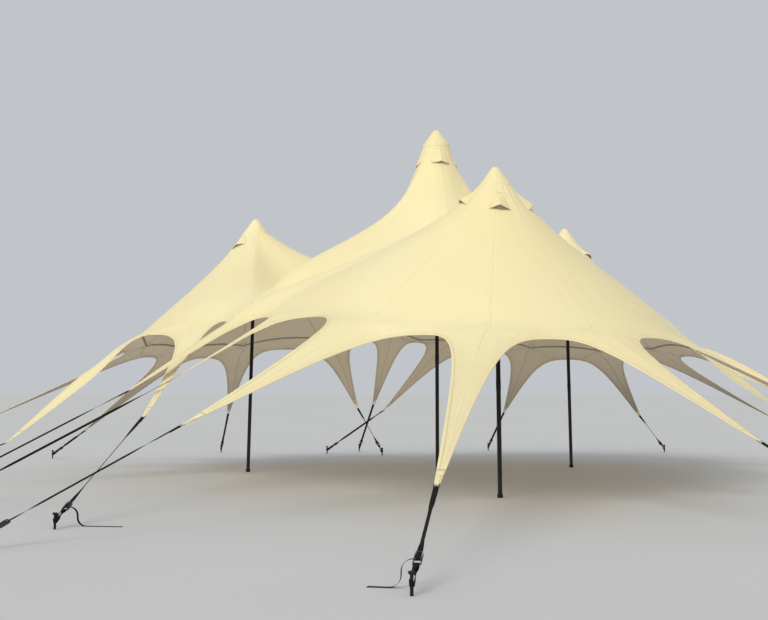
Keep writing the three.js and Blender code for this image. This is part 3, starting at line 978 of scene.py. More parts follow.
@dataclass(frozen=True)
class VentScreen:
    """A coarse net whose gaps are painted dark, as painted shade of the hollow behind it, with its
    threads lighter than the gaps.
    """

    name: str
    gap_shade: Colour
    thread: Colour
    pitch: float = 0.018

    def build(self) -> bpy.types.Material:
        """Makes the material.

        Returns:
            The material, ready to use.
        """
        sh = Shader(self.name, 0.85)
        along, across, _ = sh.axes(sh.place("UV"))
        slant = sh.ripple(sh.add(along, across), self.pitch)
        other = sh.ripple(sh.sum("SUBTRACT", along, across), self.pitch)
        threads = sh.span(sh.sum("MAXIMUM", slant, other), 0.35, 0.75)
        mottled = sh.span(sh.noise(sh.place(), 30.0, 3.0), 0.3, 0.7, (0.5, 1.0))
        # The gaps take the dark colour: painted shade of the hollow seen through the net.
        sh.set("Base Color", sh.mix(sh.times(threads, mottled), self.gap_shade, self.thread))
        sh.bump(threads, 0.8, 0.0015)
        return sh.material


@dataclass(frozen=True)
class Paint:
    """Satin paint on steel: a faint orange peel, and scuffs where hands and ground reach it."""

    name: str
    colour: Colour
    scuffed: Colour
    roughness: float = 0.5

    def build(self) -> bpy.types.Material:
        """Makes the material.

        Returns:
            The material, ready to use.
        """
        sh = Shader(self.name, self.roughness)
        place = sh.place()
        _, _, height = sh.axes(place)
        scratches = sh.span(sh.noise(sh.place(scale=(60, 60, 5)), 1.0, 6.0), 0.58, 0.74)
        low = sh.span(height, 0.1, 1.9, (0.55, 0.16))
        wear = sh.times(scratches, low)
        sh.set("Base Color", sh.mix(wear, self.colour, self.scuffed))
        smears, dull = sh.noise(place, 12.0, 4.0), self.roughness + 0.16
        sh.set("Roughness", sh.span(smears, 0.3, 0.7, (self.roughness, dull)))
        sh.set("Specular IOR Level", 0.22)
        sh.bump(sh.noise(place, 420.0, 2.0), 0.18, 0.0004)
        return sh.material


@dataclass(frozen=True)
class Steel:
    """Galvanised or darkened steel with fine grain and patches of dull zinc."""

    name: str
    colour: Colour
    dull: Colour
    roughness: float = 0.42

    def build(self) -> bpy.types.Material:
        """Makes the material.

        Returns:
            The material, ready to use.
        """
        sh = Shader(self.name, self.roughness, 0.85)
        place = sh.place()
        patches = sh.node("TexVoronoi", Vector=place, Scale=90.0).outputs["Distance"]
        share = sh.span(sh.add(patches, sh.noise(place, 18.0, 5.0)), 0.4, 1.1)
        sh.set("Base Color", sh.mix(share, self.colour, self.dull))
        sh.set("Roughness", sh.span(share, 0.0, 1.0, (self.roughness - 0.1, self.roughness + 0.2)))
        sh.bump(sh.noise(place, 260.0, 3.0), 0.25, 0.0003)
        return sh.material


@dataclass(frozen=True)
class StudioFloor:
    """A pale even floor."""

    name: str
    colour: Colour

    def build(self) -> bpy.types.Material:
        """Makes the material.

        Returns:
            The material, ready to use.
        """
        sh = Shader(self.name, 0.9)
        tone = sh.span(sh.noise(sh.place(), 0.15, 2.0), 0.3, 0.7)
        sh.set("Base Color", sh.mix(tone, self.colour, tuple(0.97 * part for part in self.colour)))
        return sh.material


@dataclass(frozen=True)
class Palette:
    """Every finish on the tent."""

    cream = StretchCloth("canopy_cream", (0.90, 0.80, 0.47), (0.88, 0.75, 0.41), (0.66, 0.56, 0.34))
    # The underside is the same cream cloth, its colour darkened as painted shade of the canopy's shadowed
    # lower face.
    underside_shade = StretchCloth("canopy_underside_painted_shade", (0.50, 0.43, 0.32), (0.45, 0.385, 0.28), (0.3, 0.25, 0.18))
    cream_tape = SewnTape("seam_tape_cream", (0.9, 0.79, 0.455), (0.84, 0.73, 0.42))
    # The tape on the lower face is the cream tape darkened as painted shade.
    underside_tape_shade = SewnTape("seam_tape_painted_shade", (0.43, 0.37, 0.275), (0.26, 0.225, 0.17), relief=0.5)
    belt = Webbing("inner_belt_webbing", (0.2, 0.19, 0.13), (0.27, 0.255, 0.18), ribs=7)
    webbing = Webbing("strap_webbing_black", (0.007, 0.007, 0.0075), (0.028, 0.027, 0.025))
    # The screen's dark gap colour is painted shade of the hollow behind the net.
    screen = VentScreen("vent_net", (0.1, 0.095, 0.07), (0.62, 0.57, 0.42))
    black = Paint("pole_paint_black", (0.004, 0.004, 0.0045), (0.03, 0.029, 0.028))
    rubber = Paint("foot_rubber", (0.008, 0.008, 0.008), (0.05, 0.045, 0.038), roughness=0.8)
    zinc = Steel("fitting_steel", (0.16, 0.16, 0.165), (0.07, 0.07, 0.072))
    iron = Steel("peg_iron", (0.07, 0.066, 0.062), (0.035, 0.032, 0.03), roughness=0.6)

    @staticmethod
    def of(*finishes: object) -> list[bpy.types.Material]:
        """The materials of some finishes, each made once."""
        return [bpy.data.materials.get(f.name) or f.build() for f in finishes]


def show(
    name: str,
    shape: Shape,
    finishes: Sequence[object],
    slot: Slot,
    wall: float = 0.0,
    bevel: float = 0.0,
) -> Piece:
    """Turns a finished mesh into a piece that rides on the tent.

    Args:
        name: The piece's name.
        shape: Its mesh, which is freed.
        finishes: Its finishes, in the order of its faces' numbers.
        slot: The record's slot that they belong to; not used.
        wall: The thickness that the mesh is given along its normals, if any.
        bevel: The width that its sharp edges are rounded by, if any.

    Returns:
        The piece.
    """
    for face in shape.faces:
        face.smooth = True
    mesh = mesh_of(name, shape)
    piece = placed(name, mesh)
    for material in Palette.of(*finishes):
        mesh.materials.append(material)
    if wall:
        solid = piece.modifiers.new("thickness", "SOLIDIFY")
        solid.thickness, solid.offset = abs(wall), math.copysign(1.0, wall)
        solid.use_even_offset = False
    if bevel:
        rounding = piece.modifiers.new("rounded_edges", "BEVEL")
        rounding.width, rounding.segments, rounding.limit_method = bevel, 2, "ANGLE"
        rounding.harden_normals = False
    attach(piece, BODY)
    LOG.info("%s: %d faces", name, len(mesh.polygons))
    return piece


def spaced(points: Sequence[Vector], step: float) -> list[Vector]:
    """Points at an even step along a broken line, with both of its ends.

    Args:
        points: The line's corners.
        step: The step, which is fitted to the line's length.

    Returns:
        The points.
    """
    line = [Vector(point) for point in points]
    lengths = [(b - a).length for a, b in zip(line, line[1:])]
    marks = np.concatenate(([0.0], np.cumsum(lengths)))
    wanted = np.linspace(0.0, marks[-1], max(2, round(marks[-1] / step) + 1))
    columns = [np.interp(wanted, marks, values) for values in zip(*line)]
    return [Vector(point) for point in zip(*columns)]


class Cloth:
    """Strips and patches of cloth in one mesh, with metres along and a share across as UV."""

    def __init__(self) -> None:
        """An empty mesh with a UV map."""
        self.shape = bmesh.new()
        self.uv = self.shape.loops.layers.uv.new("UVMap")

    def add(self, rows: Rows, finishes: Sequence[int] = (0,), wide: float = 0.0) -> None:
        """Adds a patch whose rows run across it, one after another along it.

        Args:
            rows: The points of each row.
            finishes: The finish of each column of faces, the last one for all that follow.
            wide: The width that the share across stands for, where the finish reads metres.
        """
        count = len(rows[0])
        grid = bmesh.ops.create_grid(self.shape, x_segments=count - 1, y_segments=len(rows) - 1, size=1.0)
        along, places = 0.0, {}
        for j, row in enumerate(rows):
            if j:
                along += sum((p - q).length for p, q in zip(row, rows[j - 1])) / count
            for i, point in enumerate(row):
                vert = grid["verts"][j * count + i]
                vert.co = point
                places[vert] = (along, i / (count - 1))
        for face in {face for vert in grid["verts"] for face in vert.link_faces}:
            column = round(min(places[vert][1] for vert in face.verts) * (count - 1))
            face.material_index = finishes[min(column, len(finishes) - 1)]
            for loop in face.loops:
                u, v = places[loop.vert]
                loop[self.uv].uv = (u, v * wide if wide else v)


class Fabric:
    """The finished canopy, as something that other pieces are laid on."""

    THICKNESS = 0.003

    def __init__(self, shape: Shape) -> None:
        """Reads the canopy's upper face."""
        self.tree = BVHTree.FromBMesh(shape)

    def drop(self, place: Sequence[float]) -> Vector:
        """The point of the upper face above or below a plan point."""
        hit, *_ = self.tree.ray_cast(Vector((place[0], place[1], 8.0)), Vector((0, 0, -1)))
        return hit if hit is not None else self.tree.find_nearest(Vector((place[0], place[1], 2.0)))[0]

    def near(self, point: Vector) -> tuple[Vector, Vector]:
        """The nearest point of the upper face, and its normal."""
        hit, normal, *_ = self.tree.find_nearest(point)
        return hit, normal

    def lift(self, point: Vector, side: Side, height: float) -> Vector:
        """A point that stands a height off one face of the cloth, next to the given one.

        Args:
            point: The given point.
            side: The face.
            height: The height off it.

        Returns:
            The point.
        """
        hit, normal = self.near(point)
        depth = height if side is Side.TOP else height + self.THICKNESS
        return hit + normal * (side.value * depth)

    def ribbon(
        self,
        line: Sequence[Vector],
        widths: Sequence[float] | float,
        side: Side,
        height: float,
        columns: int = 3,
        sunk: float = 0.0,
    ) -> list[list[Vector]]:
        """The rows of a strip that is laid flat along a line on the cloth.

        Args:
            line: The strip's middle line, near the cloth.
            widths: Its width, all along or at each point.
            side: The face that it lies on.
            height: How far it stands off the cloth.
            columns: How many points each row has.
            sunk: How much lower its two edges lie, pressed into the cloth.

        Returns:
            The rows, in the order that makes their faces look away from the cloth.
        """
        wide = [widths] * len(line) if isinstance(widths, float) else widths
        rows = []
        for k, point in enumerate(line):
            tangent = (line[min(k + 1, len(line) - 1)] - line[max(k - 1, 0)]).normalized()
            hit, normal = self.near(point)
            across = tangent.cross(normal * side.value).normalized()
            rows.append([])
            for i in range(columns):
                share = 2 * i / (columns - 1) - 1
                stand = height - (sunk if abs(share) == 1 else 0.0)
                rows[-1].append(self.lift(hit + across * (wide[k] / 2 * share), side, stand))
        return rows


@dataclass
class Canopy:
    """The one sheet of stretch cloth, from the caps down to the tips of its arms."""

    net: CanopyNet
    gather: float = 0.006
    gathers: int = 22
    gather_reach: float = 0.4
    ripple: float = 0.011
    ripple_from: float = 0.6
    ripple_scale: float = 0.75
    fold: float = 0.007
    fold_at: float = -0.25
    fold_long: float = 0.75
    fold_wide: float = 0.34
    fold_wave: float = 0.21
    cup: float = 0.05
    cup_from: float = 0.3
    own_cloth: float = 0.12
    arm_aside: float = 0.8
    arm_from: float = -1.4
    arm_to: float = 6.0
    soil_reach: float = 0.1
    flat: tuple[float, float] = (18.6, 17.8)
    flat_area: float = 130.0

    def build(self) -> Piece:
        """Makes the sheet, with its folds, and keeps what the other pieces are laid on.

        Returns:
            The canopy.
        """
        self.points, cells = self.net.settle()
        self._roll_arms()
        rough = bmesh.new()
        verts = [rough.verts.new(point) for point in self.points]
        for corners in cells:
            rough.faces.new([verts[k] for k in corners])
        rough.normal_update()
        holder = placed("canopy_net", mesh_of("canopy_net", rough))
        finer = holder.modifiers.new("finer", "SUBSURF")
        finer.levels = finer.render_levels = 1
        finer.boundary_smooth = "PRESERVE_CORNERS"
        graph = bpy.context.evaluated_depsgraph_get()
        fine = bpy.data.meshes.new_from_object(holder.evaluated_get(graph))
        bpy.data.objects.remove(holder)
        shape = bmesh.new()
        shape.from_mesh(fine)
        self._fold(shape)
        shape.normal_update()
        self.hems = self._hems(shape)
        self._soil(shape)
        self.fabric = Fabric(shape)
        # The lower face gets the second finish: the cream cloth darkened as painted shade.
        finishes = [Palette.cream, Palette.underside_shade]
        sheet = show("canopy_sheet", shape, finishes, Slot.CANOPY, -Fabric.THICKNESS)
        sheet.modifiers["thickness"].material_offset = 1
        return sheet

    def _fold(self, shape: Shape) -> None:
        """Gathers the cloth under the caps, ripples it, and cups and creases the arms.

        Args:
            shape: The canopy's shape, which is changed.
        """
        peaks = [CENTRE, *(lobe.pole for lobe in self.net.lobes)]
        middles = [(arm, self._middle(arm)) for arm in self.net.arms]
        for vert in shape.verts:
            x, y, z = vert.co
            peak = min(peaks, key=lambda centre: math.dist(centre, (x, y)))
            far = math.dist(peak, (x, y))
            turn = math.atan2(y - peak[1], x - peak[0])
            past_cap = far - CAP_RADIUS
            change = self.gather * math.exp(-past_cap / self.gather_reach) * math.sin(self.gathers * turn)
            change *= min(1.0, max(0.0, past_cap) / 0.05)
            calm = min(1.0, max(0.0, far - self.ripple_from) / 1.2)
            place = Vector((self.ripple_scale * x, self.ripple_scale * y, 0.4))
            change += self.ripple * calm * noise.noise(place)
            for arm, middle in middles:
                out, aside = arm.local(x, y)
                if abs(aside) > self.arm_aside or not self.arm_from < out < self.arm_to:
                    continue
                off = abs(z - np.interp(out, *middle))
                if out > self.cup_from and off > self.own_cloth + abs(arm.roll * aside):
                    continue
                half = self.net.tip_half + arm.root * max(0.0, 1 - out / arm.reach)
                if out > self.cup_from and abs(aside) < half:
                    settled = min(1.0, (out - self.cup_from) / 0.5) * min(1.0, (arm.reach - out) / 0.2)
                    change -= self.cup * half * settled * (1 - (aside / half) ** 2)
                along, across = (out - self.fold_at) / self.fold_long, aside / self.fold_wide
                fade = math.exp(-along * along - across * across)
                change += self.fold * fade * math.cos(math.tau * aside / self.fold_wave)
            vert.co.z += change

    def _roll_arms(self) -> None:
        """Leans the arms that their straps pull over to one side."""
        for arm in self.net.arms:
            for number in [number for row in arm.rows[2:] for number in row]:
                out, aside = arm.local(*self.points[number][:2])
                eased = max(0.0, min(1.0, out / 0.8, (arm.reach - out) / 0.25))
                self.points[number][2] += eased * arm.roll * max(-arm.root, min(arm.root, aside))

    def _middle(self, arm: Arm) -> tuple[list[float], list[float]]:
        """An arm's middle line, as reaches from its start and heights."""
        points = [self.points[number] for number in arm.middle]
        return [arm.local(x, y)[0] for x, y, _ in points], [point[2] for point in points]

    def _hems(self, shape: Shape) -> list[list[tuple[Vector, Vector]]]:
        """The free edges of the arches.

        Args:
            shape: The sheet.

        Returns:
            For each arch, its points from tip to tip and the way into the cloth at each.
        """
        tips = tree_of([arm.tip_point for arm in self.net.arms])
        follow, inward = {}, {}
        for edge in shape.edges:
            if not edge.is_boundary:
                continue
            loop = edge.link_loops[0]
            a, b = loop.vert, loop.link_loop_next.vert
            follow[a] = b
            way = edge.link_faces[0].normal.cross(b.co - a.co).normalized()
            for vert in (a, b):
                inward[vert] = inward.get(vert, Vector()) + way
        chains, left = [], set(follow)
        while left:
            vert = left.pop()
            chain = [vert]
            while follow[chain[-1]] is not vert:
                chain.append(follow[chain[-1]])
                left.discard(chain[-1])
            chains.append(chain)
        hem = max(chains, key=len)
        at_tip = [tips.find(vert.co)[2] < self.net.tip_half + 0.004 for vert in hem]
        first = at_tip.index(True)
        hem, at_tip = hem[first:] + hem[:first], at_tip[first:] + at_tip[:first]
        arches, arch = [], []
        for vert, ends in zip(hem + hem[:1], at_tip + at_tip[:1]):
            point = (vert.co.copy(), inward[vert].normalized())
            if ends:
                if len(arch) > 4:
                    arches.append([*arch, point])
                arch = [point]
            else:
                arch.append(point)
        return arches

    def _soil(self, shape: Shape) -> None:
        """Marks how near each point is to a hem, where the cloth is handled and soiled.

        Args:
            shape: The canopy's shape, which gets the layer.
        """
        layer = shape.verts.layers.float.new("soil")
        edge = tree_of([point for arch in self.hems for point, _ in arch])
        for vert in shape.verts:
            vert[layer] = math.exp(-edge.find(vert.co)[2] / self.soil_reach)

    def line(self, ids: Sequence[int], step: float = 0.06) -> list[Vector]:
        """An evenly spaced line on the cloth through some of the net's points."""
        return [self.fabric.near(point)[0] for point in spaced([self.points[k] for k in ids], step)]


@dataclass
class Seams:
    """The seams that join the cloth, the hems along its edges, and the belt inside it."""

    canopy: Canopy
    seam_width: float = 0.03
    hem_width: float = 0.038
    belt_width: float = 0.045
    patch: float = 0.17
    tip_patch: float = 0.3
    tape: float = 0.0008
    top_stand: float = 0.0004
    top_sunk: float = 0.0016
    under_stand: float = 0.0006
    hem_stand: float = 0.001
    patch_stand: float = 0.0018
    tip_stand: float = 0.0022
    belt_stand: float = 0.0025
    arm_spread: float = 0.085

    def _long_seams(self) -> list[list[Vector]]:
        """Every long seam: down each arm and each valley, and along the ridges to the centre.

        Returns:
            The seams' lines.
        """
        net, line = self.canopy.net, self.canopy.line
        lines = []
        for lobe, rows in zip(net.lobes, net.lobe_rows):
            start = 1 + len(lobe.inward)
            for k, arm in enumerate(lobe.arms):
                column = start + k * net.columns + net.columns // 2
                lines.append(line([*(row[column] for row in rows), *arm.middle[1:]])[:-1])
            ridge = start + len(lobe.fan) + len(lobe.outward) + net.side_columns // 2
            lines.append(line([row[ridge] for row in rows]))
        for k, valley in enumerate(net.valleys):
            column = ((k + 1) % len(net.lobes)) * net.side_columns
            lines.append(line([*(row[column] for row in net.centre_rows), *valley.arm.middle[1:]])[:-1])
            ridge = k * net.side_columns + net.side_columns // 2
            lines.append(line([row[ridge] for row in net.centre_rows]))
        return lines

    def _arm_roots(self) -> list[list[Vector]]:
        """The short seams from each arm's middle, at the belt, out to its two hems."""
        ends = [(arm.middle[0], number) for arm in self.canopy.net.arms for number in arm.root_ends]
        return [self.canopy.line(pair)[:-2] for pair in ends]

    def build(self) -> list[Piece]:
        """Lays the seams, hems, belt and patches on the cloth.

        Returns:
            The pieces.
        """
        canopy = self.canopy
        fabric = canopy.fabric
        upper, lower, hems, belts = Cloth(), Cloth(), Cloth(), Cloth()
        for line in [*self._long_seams(), *self._arm_roots()]:
            upper.add(fabric.ribbon(
                line, self.seam_width, Side.TOP, self.top_stand, columns=5, sunk=self.top_sunk))
            lower.add(fabric.ribbon(line, self.seam_width, Side.UNDER, self.under_stand))
        for arch in canopy.hems:
            # The hem's last column, under the cloth, takes the tape darkened as painted shade.
            hems.add(self._binding(arch), finishes=(0, 0, 0, 1))
        for line in self._belt_lines():
            belts.add(fabric.ribbon(line, self.belt_width, Side.UNDER, self.belt_stand))
        for arm in canopy.net.arms:
            self._patch(arm, lower)
            self._tip_patch(arm, upper, Side.TOP)
            self._tip_patch(arm, lower, Side.UNDER)
        # The seams under the cloth use the tape darkened as painted shade.
        tapes = [Palette.cream_tape, Palette.underside_tape_shade]
        return [
            show("canopy_seams_top", upper.shape, tapes[:1], Slot.CANOPY, self.tape),
            show("canopy_seams_under", lower.shape, tapes[1:], Slot.CANOPY, self.tape),
            show("canopy_hems", hems.shape, tapes, Slot.CANOPY, self.tape),
            show("inner_belt", belts.shape, [Palette.belt], Slot.STRAP, self.tape),
        ]

    def _binding(self, arch: Sequence[tuple[Vector, Vector]]) -> list[list[Vector]]:
        """The rows of a tape that is folded over an arch's edge.

        Args:
            arch: The edge's points, and the way into the cloth at each.

        Returns:
            The rows, from the upper face round the edge to the lower one.
        """
        fabric = self.canopy.fabric
        ends = arch[0][0], arch[-1][0]
        rows = []
        for point, inward in arch:
            wide = min(self.hem_width, 0.42 * self._arm_width(min((point - end).length for end in ends)))
            inner = point + inward * wide
            middle = point + inward * (0.5 * wide)
            _, normal = fabric.near(middle)
            stand = self.hem_stand
            top = [fabric.lift(place, Side.TOP, stand) for place in (inner, middle)]
            under = [fabric.lift(place, Side.UNDER, stand) for place in (middle, inner)]
            edge = point - inward * (2 * stand)
            rims = [edge + normal * stand, edge - normal * (Fabric.THICKNESS + stand)]
            rows.append([*top, *rims, *under])
        return rows

    def _arm_width(self, reach: float) -> float:
        """How wide an arm is at a reach from its tip."""
        return 2 * (self.canopy.net.tip_half + self.arm_spread * reach)

    def _belt_lines(self) -> list[list[Vector]]:
        """The belt's straight runs from arm to arm, round each lobe and into the valleys.

        Returns:
            The runs, as lines of points.
        """
        net, points = self.canopy.net, self.canopy.points
        lines = []
        for k, lobe in enumerate(net.lobes):
            roots = [arm.middle[0] for arm in lobe.arms]
            ids = [net.valleys[k - 1].corner, *roots, net.valleys[k].corner]
            for a, b in zip(ids, ids[1:]):
                flat = spaced([Vector((*points[n][:2], 0.0)) for n in (a, b)], 0.07)
                lines.append([self.canopy.fabric.drop(point) for point in flat])
        return lines

    def _patch(self, arm: Arm, cloth: Cloth) -> None:
        """Sews a square of cloth under the point where the belt meets an arm.

        Args:
            arm: The arm.
            cloth: Takes the patch.
        """
        fabric = self.canopy.fabric
        middle = fabric.drop(self.canopy.points[arm.middle[0]])
        along = Vector((*heading(arm.axis), 0.0)) * (self.patch / 2)
        line = spaced([fabric.drop(middle + along * side) for side in (-1, 1)], self.patch / 4)
        cloth.add(fabric.ribbon(line, self.patch * 0.8, Side.UNDER, self.patch_stand, columns=5))

    def _tip_patch(self, arm: Arm, cloth: Cloth, side: Side) -> None:
        """Sews a tapered patch over an arm's tip, where the strap's pull goes in.

        Args:
            arm: The arm.
            cloth: Takes the patch.
            side: The face of the cloth.
        """
        line = self.canopy.line(arm.middle)
        line = [point for point in line if (point - arm.tip_point).length < self.tip_patch]
        widths = [self._arm_width((line[-1] - point).length) - 0.012 for point in line]
        cloth.add(self.canopy.fabric.ribbon(line, widths, side, self.tip_stand, columns=5))


@dataclass
class Vent:
    """An arched hood of cloth over a screened opening, just under a cap."""

    centre: Plan
    axis: float
    half_turn: float
    inner: float
    outer: float
    rise: float
    lip: float = 0.008
    skin: float = 0.006
    bow: float = 0.02
    narrow: float = 0.42
    across: int = 24
    down: int = 10

    def _half_at(self, t: float) -> float:
        """The hood's half-width in degrees, from t = 0 at its upper end to 1 at its brim."""
        return self.half_turn * (self.narrow + (1 - self.narrow) * t**0.7)

    def _shell(self, fabric: Fabric, share: float, t: float, inset: float = 0.0) -> Vector:
        """A point of the hood.

        Args:
            fabric: The cloth under it.
            share: From -1 on its right to 1 on its left.
            t: From 0 at its upper end to 1 at its brim.
            inset: How far inside the hood's outer face the point lies.

        Returns:
            The point.
        """
        reach = self.inner + (self.outer - self.inner) * t + self.bow * (1 - share * share) * t
        turn = self.axis + share * self._half_at(t)
        point = fabric.drop(polar(self.centre, turn, reach))
        _, normal = fabric.near(point)
        swell = t * t * (3 - 2 * t) * (1 - abs(share) ** 1.1)
        away = normal * 0.3 + Vector((0, 0, 0.8))
        loose = min(1.0, 8 * (1 - abs(share)), 8 * t)
        stand = (self.skin + 0.001) * loose - 0.001 - inset
        return point + away * (self.rise * swell) + normal * stand

    def _sill(self, fabric: Fabric, share: float) -> Vector:
        """A point of the opening's curved lower lip."""
        reach = self.outer + self.lip * (1 - share * share)
        return fabric.drop(polar(self.centre, self.axis + self.half_turn * 0.98 * share, reach))

    def build(self, fabric: Fabric, hood: Cloth, screen: Cloth, welts: Cloth) -> None:
        """Adds the hood, its screen and its welt to the given cloths.

        Args:
            fabric: The canopy.
            hood: Takes the hood's shell.
            screen: Takes the net across its mouth and the net under the canopy.
            welts: Takes the narrow welts round its mouth.
        """
        shares = [2 * k / self.across - 1 for k in range(self.across + 1)]
        steps = [k / self.down for k in range(self.down + 1)]
        hood.add([[self._shell(fabric, share, t) for share in shares] for t in steps])
        brim = [self._shell(fabric, share, 0.97, 0.006) for share in shares]
        sill = [self._sill(fabric, share) for share in shares]
        foot = [fabric.lift(point, Side.TOP, 0.002) for point in sill]
        rows = [[low.lerp(high, k / 4) for low, high in zip(foot, brim)] for k in range(5)]
        screen.add([list(row) for row in zip(*rows)], wide=0.12)
        lips = [self._shell(fabric, share, 1.0, -0.002) for share in shares]
        welts.add([[lip + Vector((0, 0, 0.003)), lip - Vector((0, 0, 0.009))] for lip in lips])
        welts.add(fabric.ribbon(sill, 0.022, Side.TOP, 0.002))
        under = []
        for k in range(6):
            reach = self.inner + 0.02 + (self.outer - self.inner + 0.02) * k / 5
            turn = self._half_at(k / 5) * 0.92
            places = [polar(self.centre, self.axis - turn * share, reach) for share in shares[::3]]
            under.append([fabric.lift(fabric.drop(place), Side.UNDER, 0.002) for place in places])
        screen.add(under, wide=0.3)


@dataclass
class Vents:
    """All the vents: three round each outer peak and four round the centre one."""

    canopy: Canopy
    outer_offsets: Sequence[float] = (-77, 0, 77)
    front_offsets: Sequence[float] = (-84.75, -9.75, 67.5)
    outer_half: float = 17.5
    outer_reach: tuple[float, float] = (0.34, 0.54)
    outer_rises: Sequence[float] = (0.065, 0.1, 0.06)
    centre_turns: Sequence[float] = (-79, 11, 101, 191)
    centre_rises: Sequence[float] = (0.085, 0.03, 0.05, 0.03)
    centre_half: float = 29.0
    centre_reach: tuple[float, float] = (0.27, 0.36)

    def build(self) -> list[Piece]:
        """Makes every vent.

        Returns:
            The hoods and, last, the screens and welts.
        """
        fabric = self.canopy.fabric
        rows = []
        for lobe in self.canopy.net.lobes:
            offsets = self.front_offsets if lobe.name == "front" else self.outer_offsets
            turns = [lobe.axis + offset for offset in offsets]
            sizes = self.outer_half, *self.outer_reach
            rows.append((lobe.name, lobe.pole, turns, self.outer_rises, sizes))
        sizes = self.centre_half, *self.centre_reach
        rows.append(("centre", CENTRE, self.centre_turns, self.centre_rises, sizes))
        screens, welts, pieces = Cloth(), Cloth(), []
        for peak, place, turns, rises, sizes in rows:
            for k, (turn, rise) in enumerate(zip(turns, rises), 1):
                name, hood = f"vent_hood_{peak}_{k}", Cloth()
                Vent(place, turn, *sizes, rise).build(fabric, hood, screens, welts)
                piece = show(f"{name}_cloth", hood.shape, [Palette.cream], Slot.CANOPY, -0.002)
                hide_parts(name)
                pieces.append(piece)
        pieces.append(show("vent_screens", screens.shape, [Palette.screen], Slot.CANOPY, 0.0015))
        pieces.append(show("vent_welts", welts.shape, [Palette.cream_tape], Slot.CANOPY, 0.003))
        return pieces


@dataclass
class Cap:
    """The cone of cloth drawn over a peak, with gores and a hemmed skirt."""

    name: str
    centre: Plan
    peak: float
    top_radius: float = 0.05
    gores: int = 8
    columns: int = 96
    skirt: float = 0.02
    crown_share: float = 0.2
    cone_share: float = 0.65
    crown_drop: float = 0.012
    edge_rise: float = 0.004
    out_slope: float = 0.5

    def _point(self, fabric: Fabric, turn: float, t: float) -> Vector:
        """A point of the cap, from t = 0 at its top to 1 at its rim.

        Args:
            fabric: The canopy under the skirt.
            turn: The angle round the pole, in degrees.
            t: How far down the cap the point lies.

        Returns:
            The point.
        """
        gore = abs(math.sin(math.radians(turn) * self.gores / 2))
        top, cone_end = self.top_radius + self.edge_rise, self.crown_share + self.cone_share
        if t <= self.crown_share:
            bend = t / self.crown_share * math.pi / 2
            height = self.peak - self.crown_drop * (1 - math.cos(bend))
            return Vector((*polar(self.centre, turn, top * math.sin(bend)), height))
        share = min(1.0, (t - self.crown_share) / self.cone_share)
        radius = top + (CAP_RADIUS + 0.006 - top) * share
        radius += (0.003 * gore - 0.005) * math.sin(math.pi * share)
        height = self.peak - self.crown_drop - (CAP_HEIGHT - 0.014) * share
        point = Vector((*polar(self.centre, turn, radius), height))
        if t > cone_end:
            low = fabric.drop(polar(self.centre, turn, CAP_RADIUS + self.skirt))
            _, normal = fabric.near(low)
            share = (t - cone_end) / (1 - cone_end)
            stand = (0.002 + 0.0015 * gore) * (1 - share) - 0.0012 * share
            point = point.lerp(low + normal * stand, share)
        return point

    def build(self, fabric: Fabric) -> list[Piece]:
        """Makes the cap and its seams.

        Args:
            fabric: The canopy that its skirt lies on.

        Returns:
            The cap, and its seams and hem.
        """
        cone = [self.crown_share + self.cone_share * k / 8 for k in range(1, 9)]
        steps = [0.004, 0.05, 0.1, 0.15, self.crown_share, *cone, 0.9, 0.95, 1.0]
        turns = [360 * k / self.columns for k in range(self.columns + 1)]
        cloth, trim = Cloth(), Cloth()
        cloth.add([[self._point(fabric, turn, t) for turn in turns] for t in steps])
        bmesh.ops.remove_doubles(cloth.shape, verts=cloth.shape.verts, dist=0.0002)
        open_edges = [edge for edge in cloth.shape.edges if edge.is_boundary]
        rim = [edge for edge in open_edges if edge.verts[0].co.z > self.peak - 0.05]
        bmesh.ops.holes_fill(cloth.shape, edges=rim, sides=0)
        bmesh.ops.recalc_face_normals(cloth.shape, faces=cloth.shape.faces)
        for k in range(self.gores):
            turn = 360 * k / self.gores
            line = [self._point(fabric, turn, t) for t in steps[2:]]
            way = heading(turn)
            side = Vector((-way[1], way[0], 0)) * 0.011
            out = Vector((*way, self.out_slope)).normalized() * 0.0015
            inner = out * -0.4
            trim.add([[point + inner - side, point + out, point + inner + side] for point in line])
        for turn, following in zip(turns, turns[1:]):
            rows = []
            for angle in (turn, following):
                out = Vector((*heading(angle), self.out_slope)).normalized() * 0.0018
                rims = ((1.0, -0.4), (0.95, 1.0), (0.9, -0.4))
                rows.append([self._point(fabric, angle, t) + out * rise for t, rise in rims])
            trim.add(rows)
        bmesh.ops.remove_doubles(trim.shape, verts=trim.shape.verts, dist=0.0002)
        piece = show(f"{self.name}_cloth", cloth.shape, [Palette.cream], Slot.CANOPY, -0.002)
        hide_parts(self.name)
        return [piece, show(f"{self.name}_seams", trim.shape, [Palette.cream_tape], Slot.CANOPY, 0.0008)]


def lathe(profile: Sequence[Pair], steps: int = 48) -> Shape:
    """A closed turned shape.

    Args:
        profile: The radius and height of each point, from the axis and back to it.
        steps: How many faces go round it.

    Returns:
        The shape, standing on the origin.
    """
    shape = bmesh.new()
    verts = [shape.verts.new((radius, 0.0, height)) for radius, height in profile]
    edges = [shape.edges.new(pair) for pair in zip(verts, verts[1:])]
    bmesh.ops.spin(
        shape, geom=[*verts, *edges], cent=(0, 0, 0), axis=(0, 0, 1), dvec=(0, 0, 0),
        angle=math.tau, steps=steps, use_merge=True, use_normal_flip=False, use_duplicate=False)
    bmesh.ops.remove_doubles(shape, verts=shape.verts, dist=1e-5)
    bmesh.ops.recalc_face_normals(shape, faces=shape.faces)
    return shape


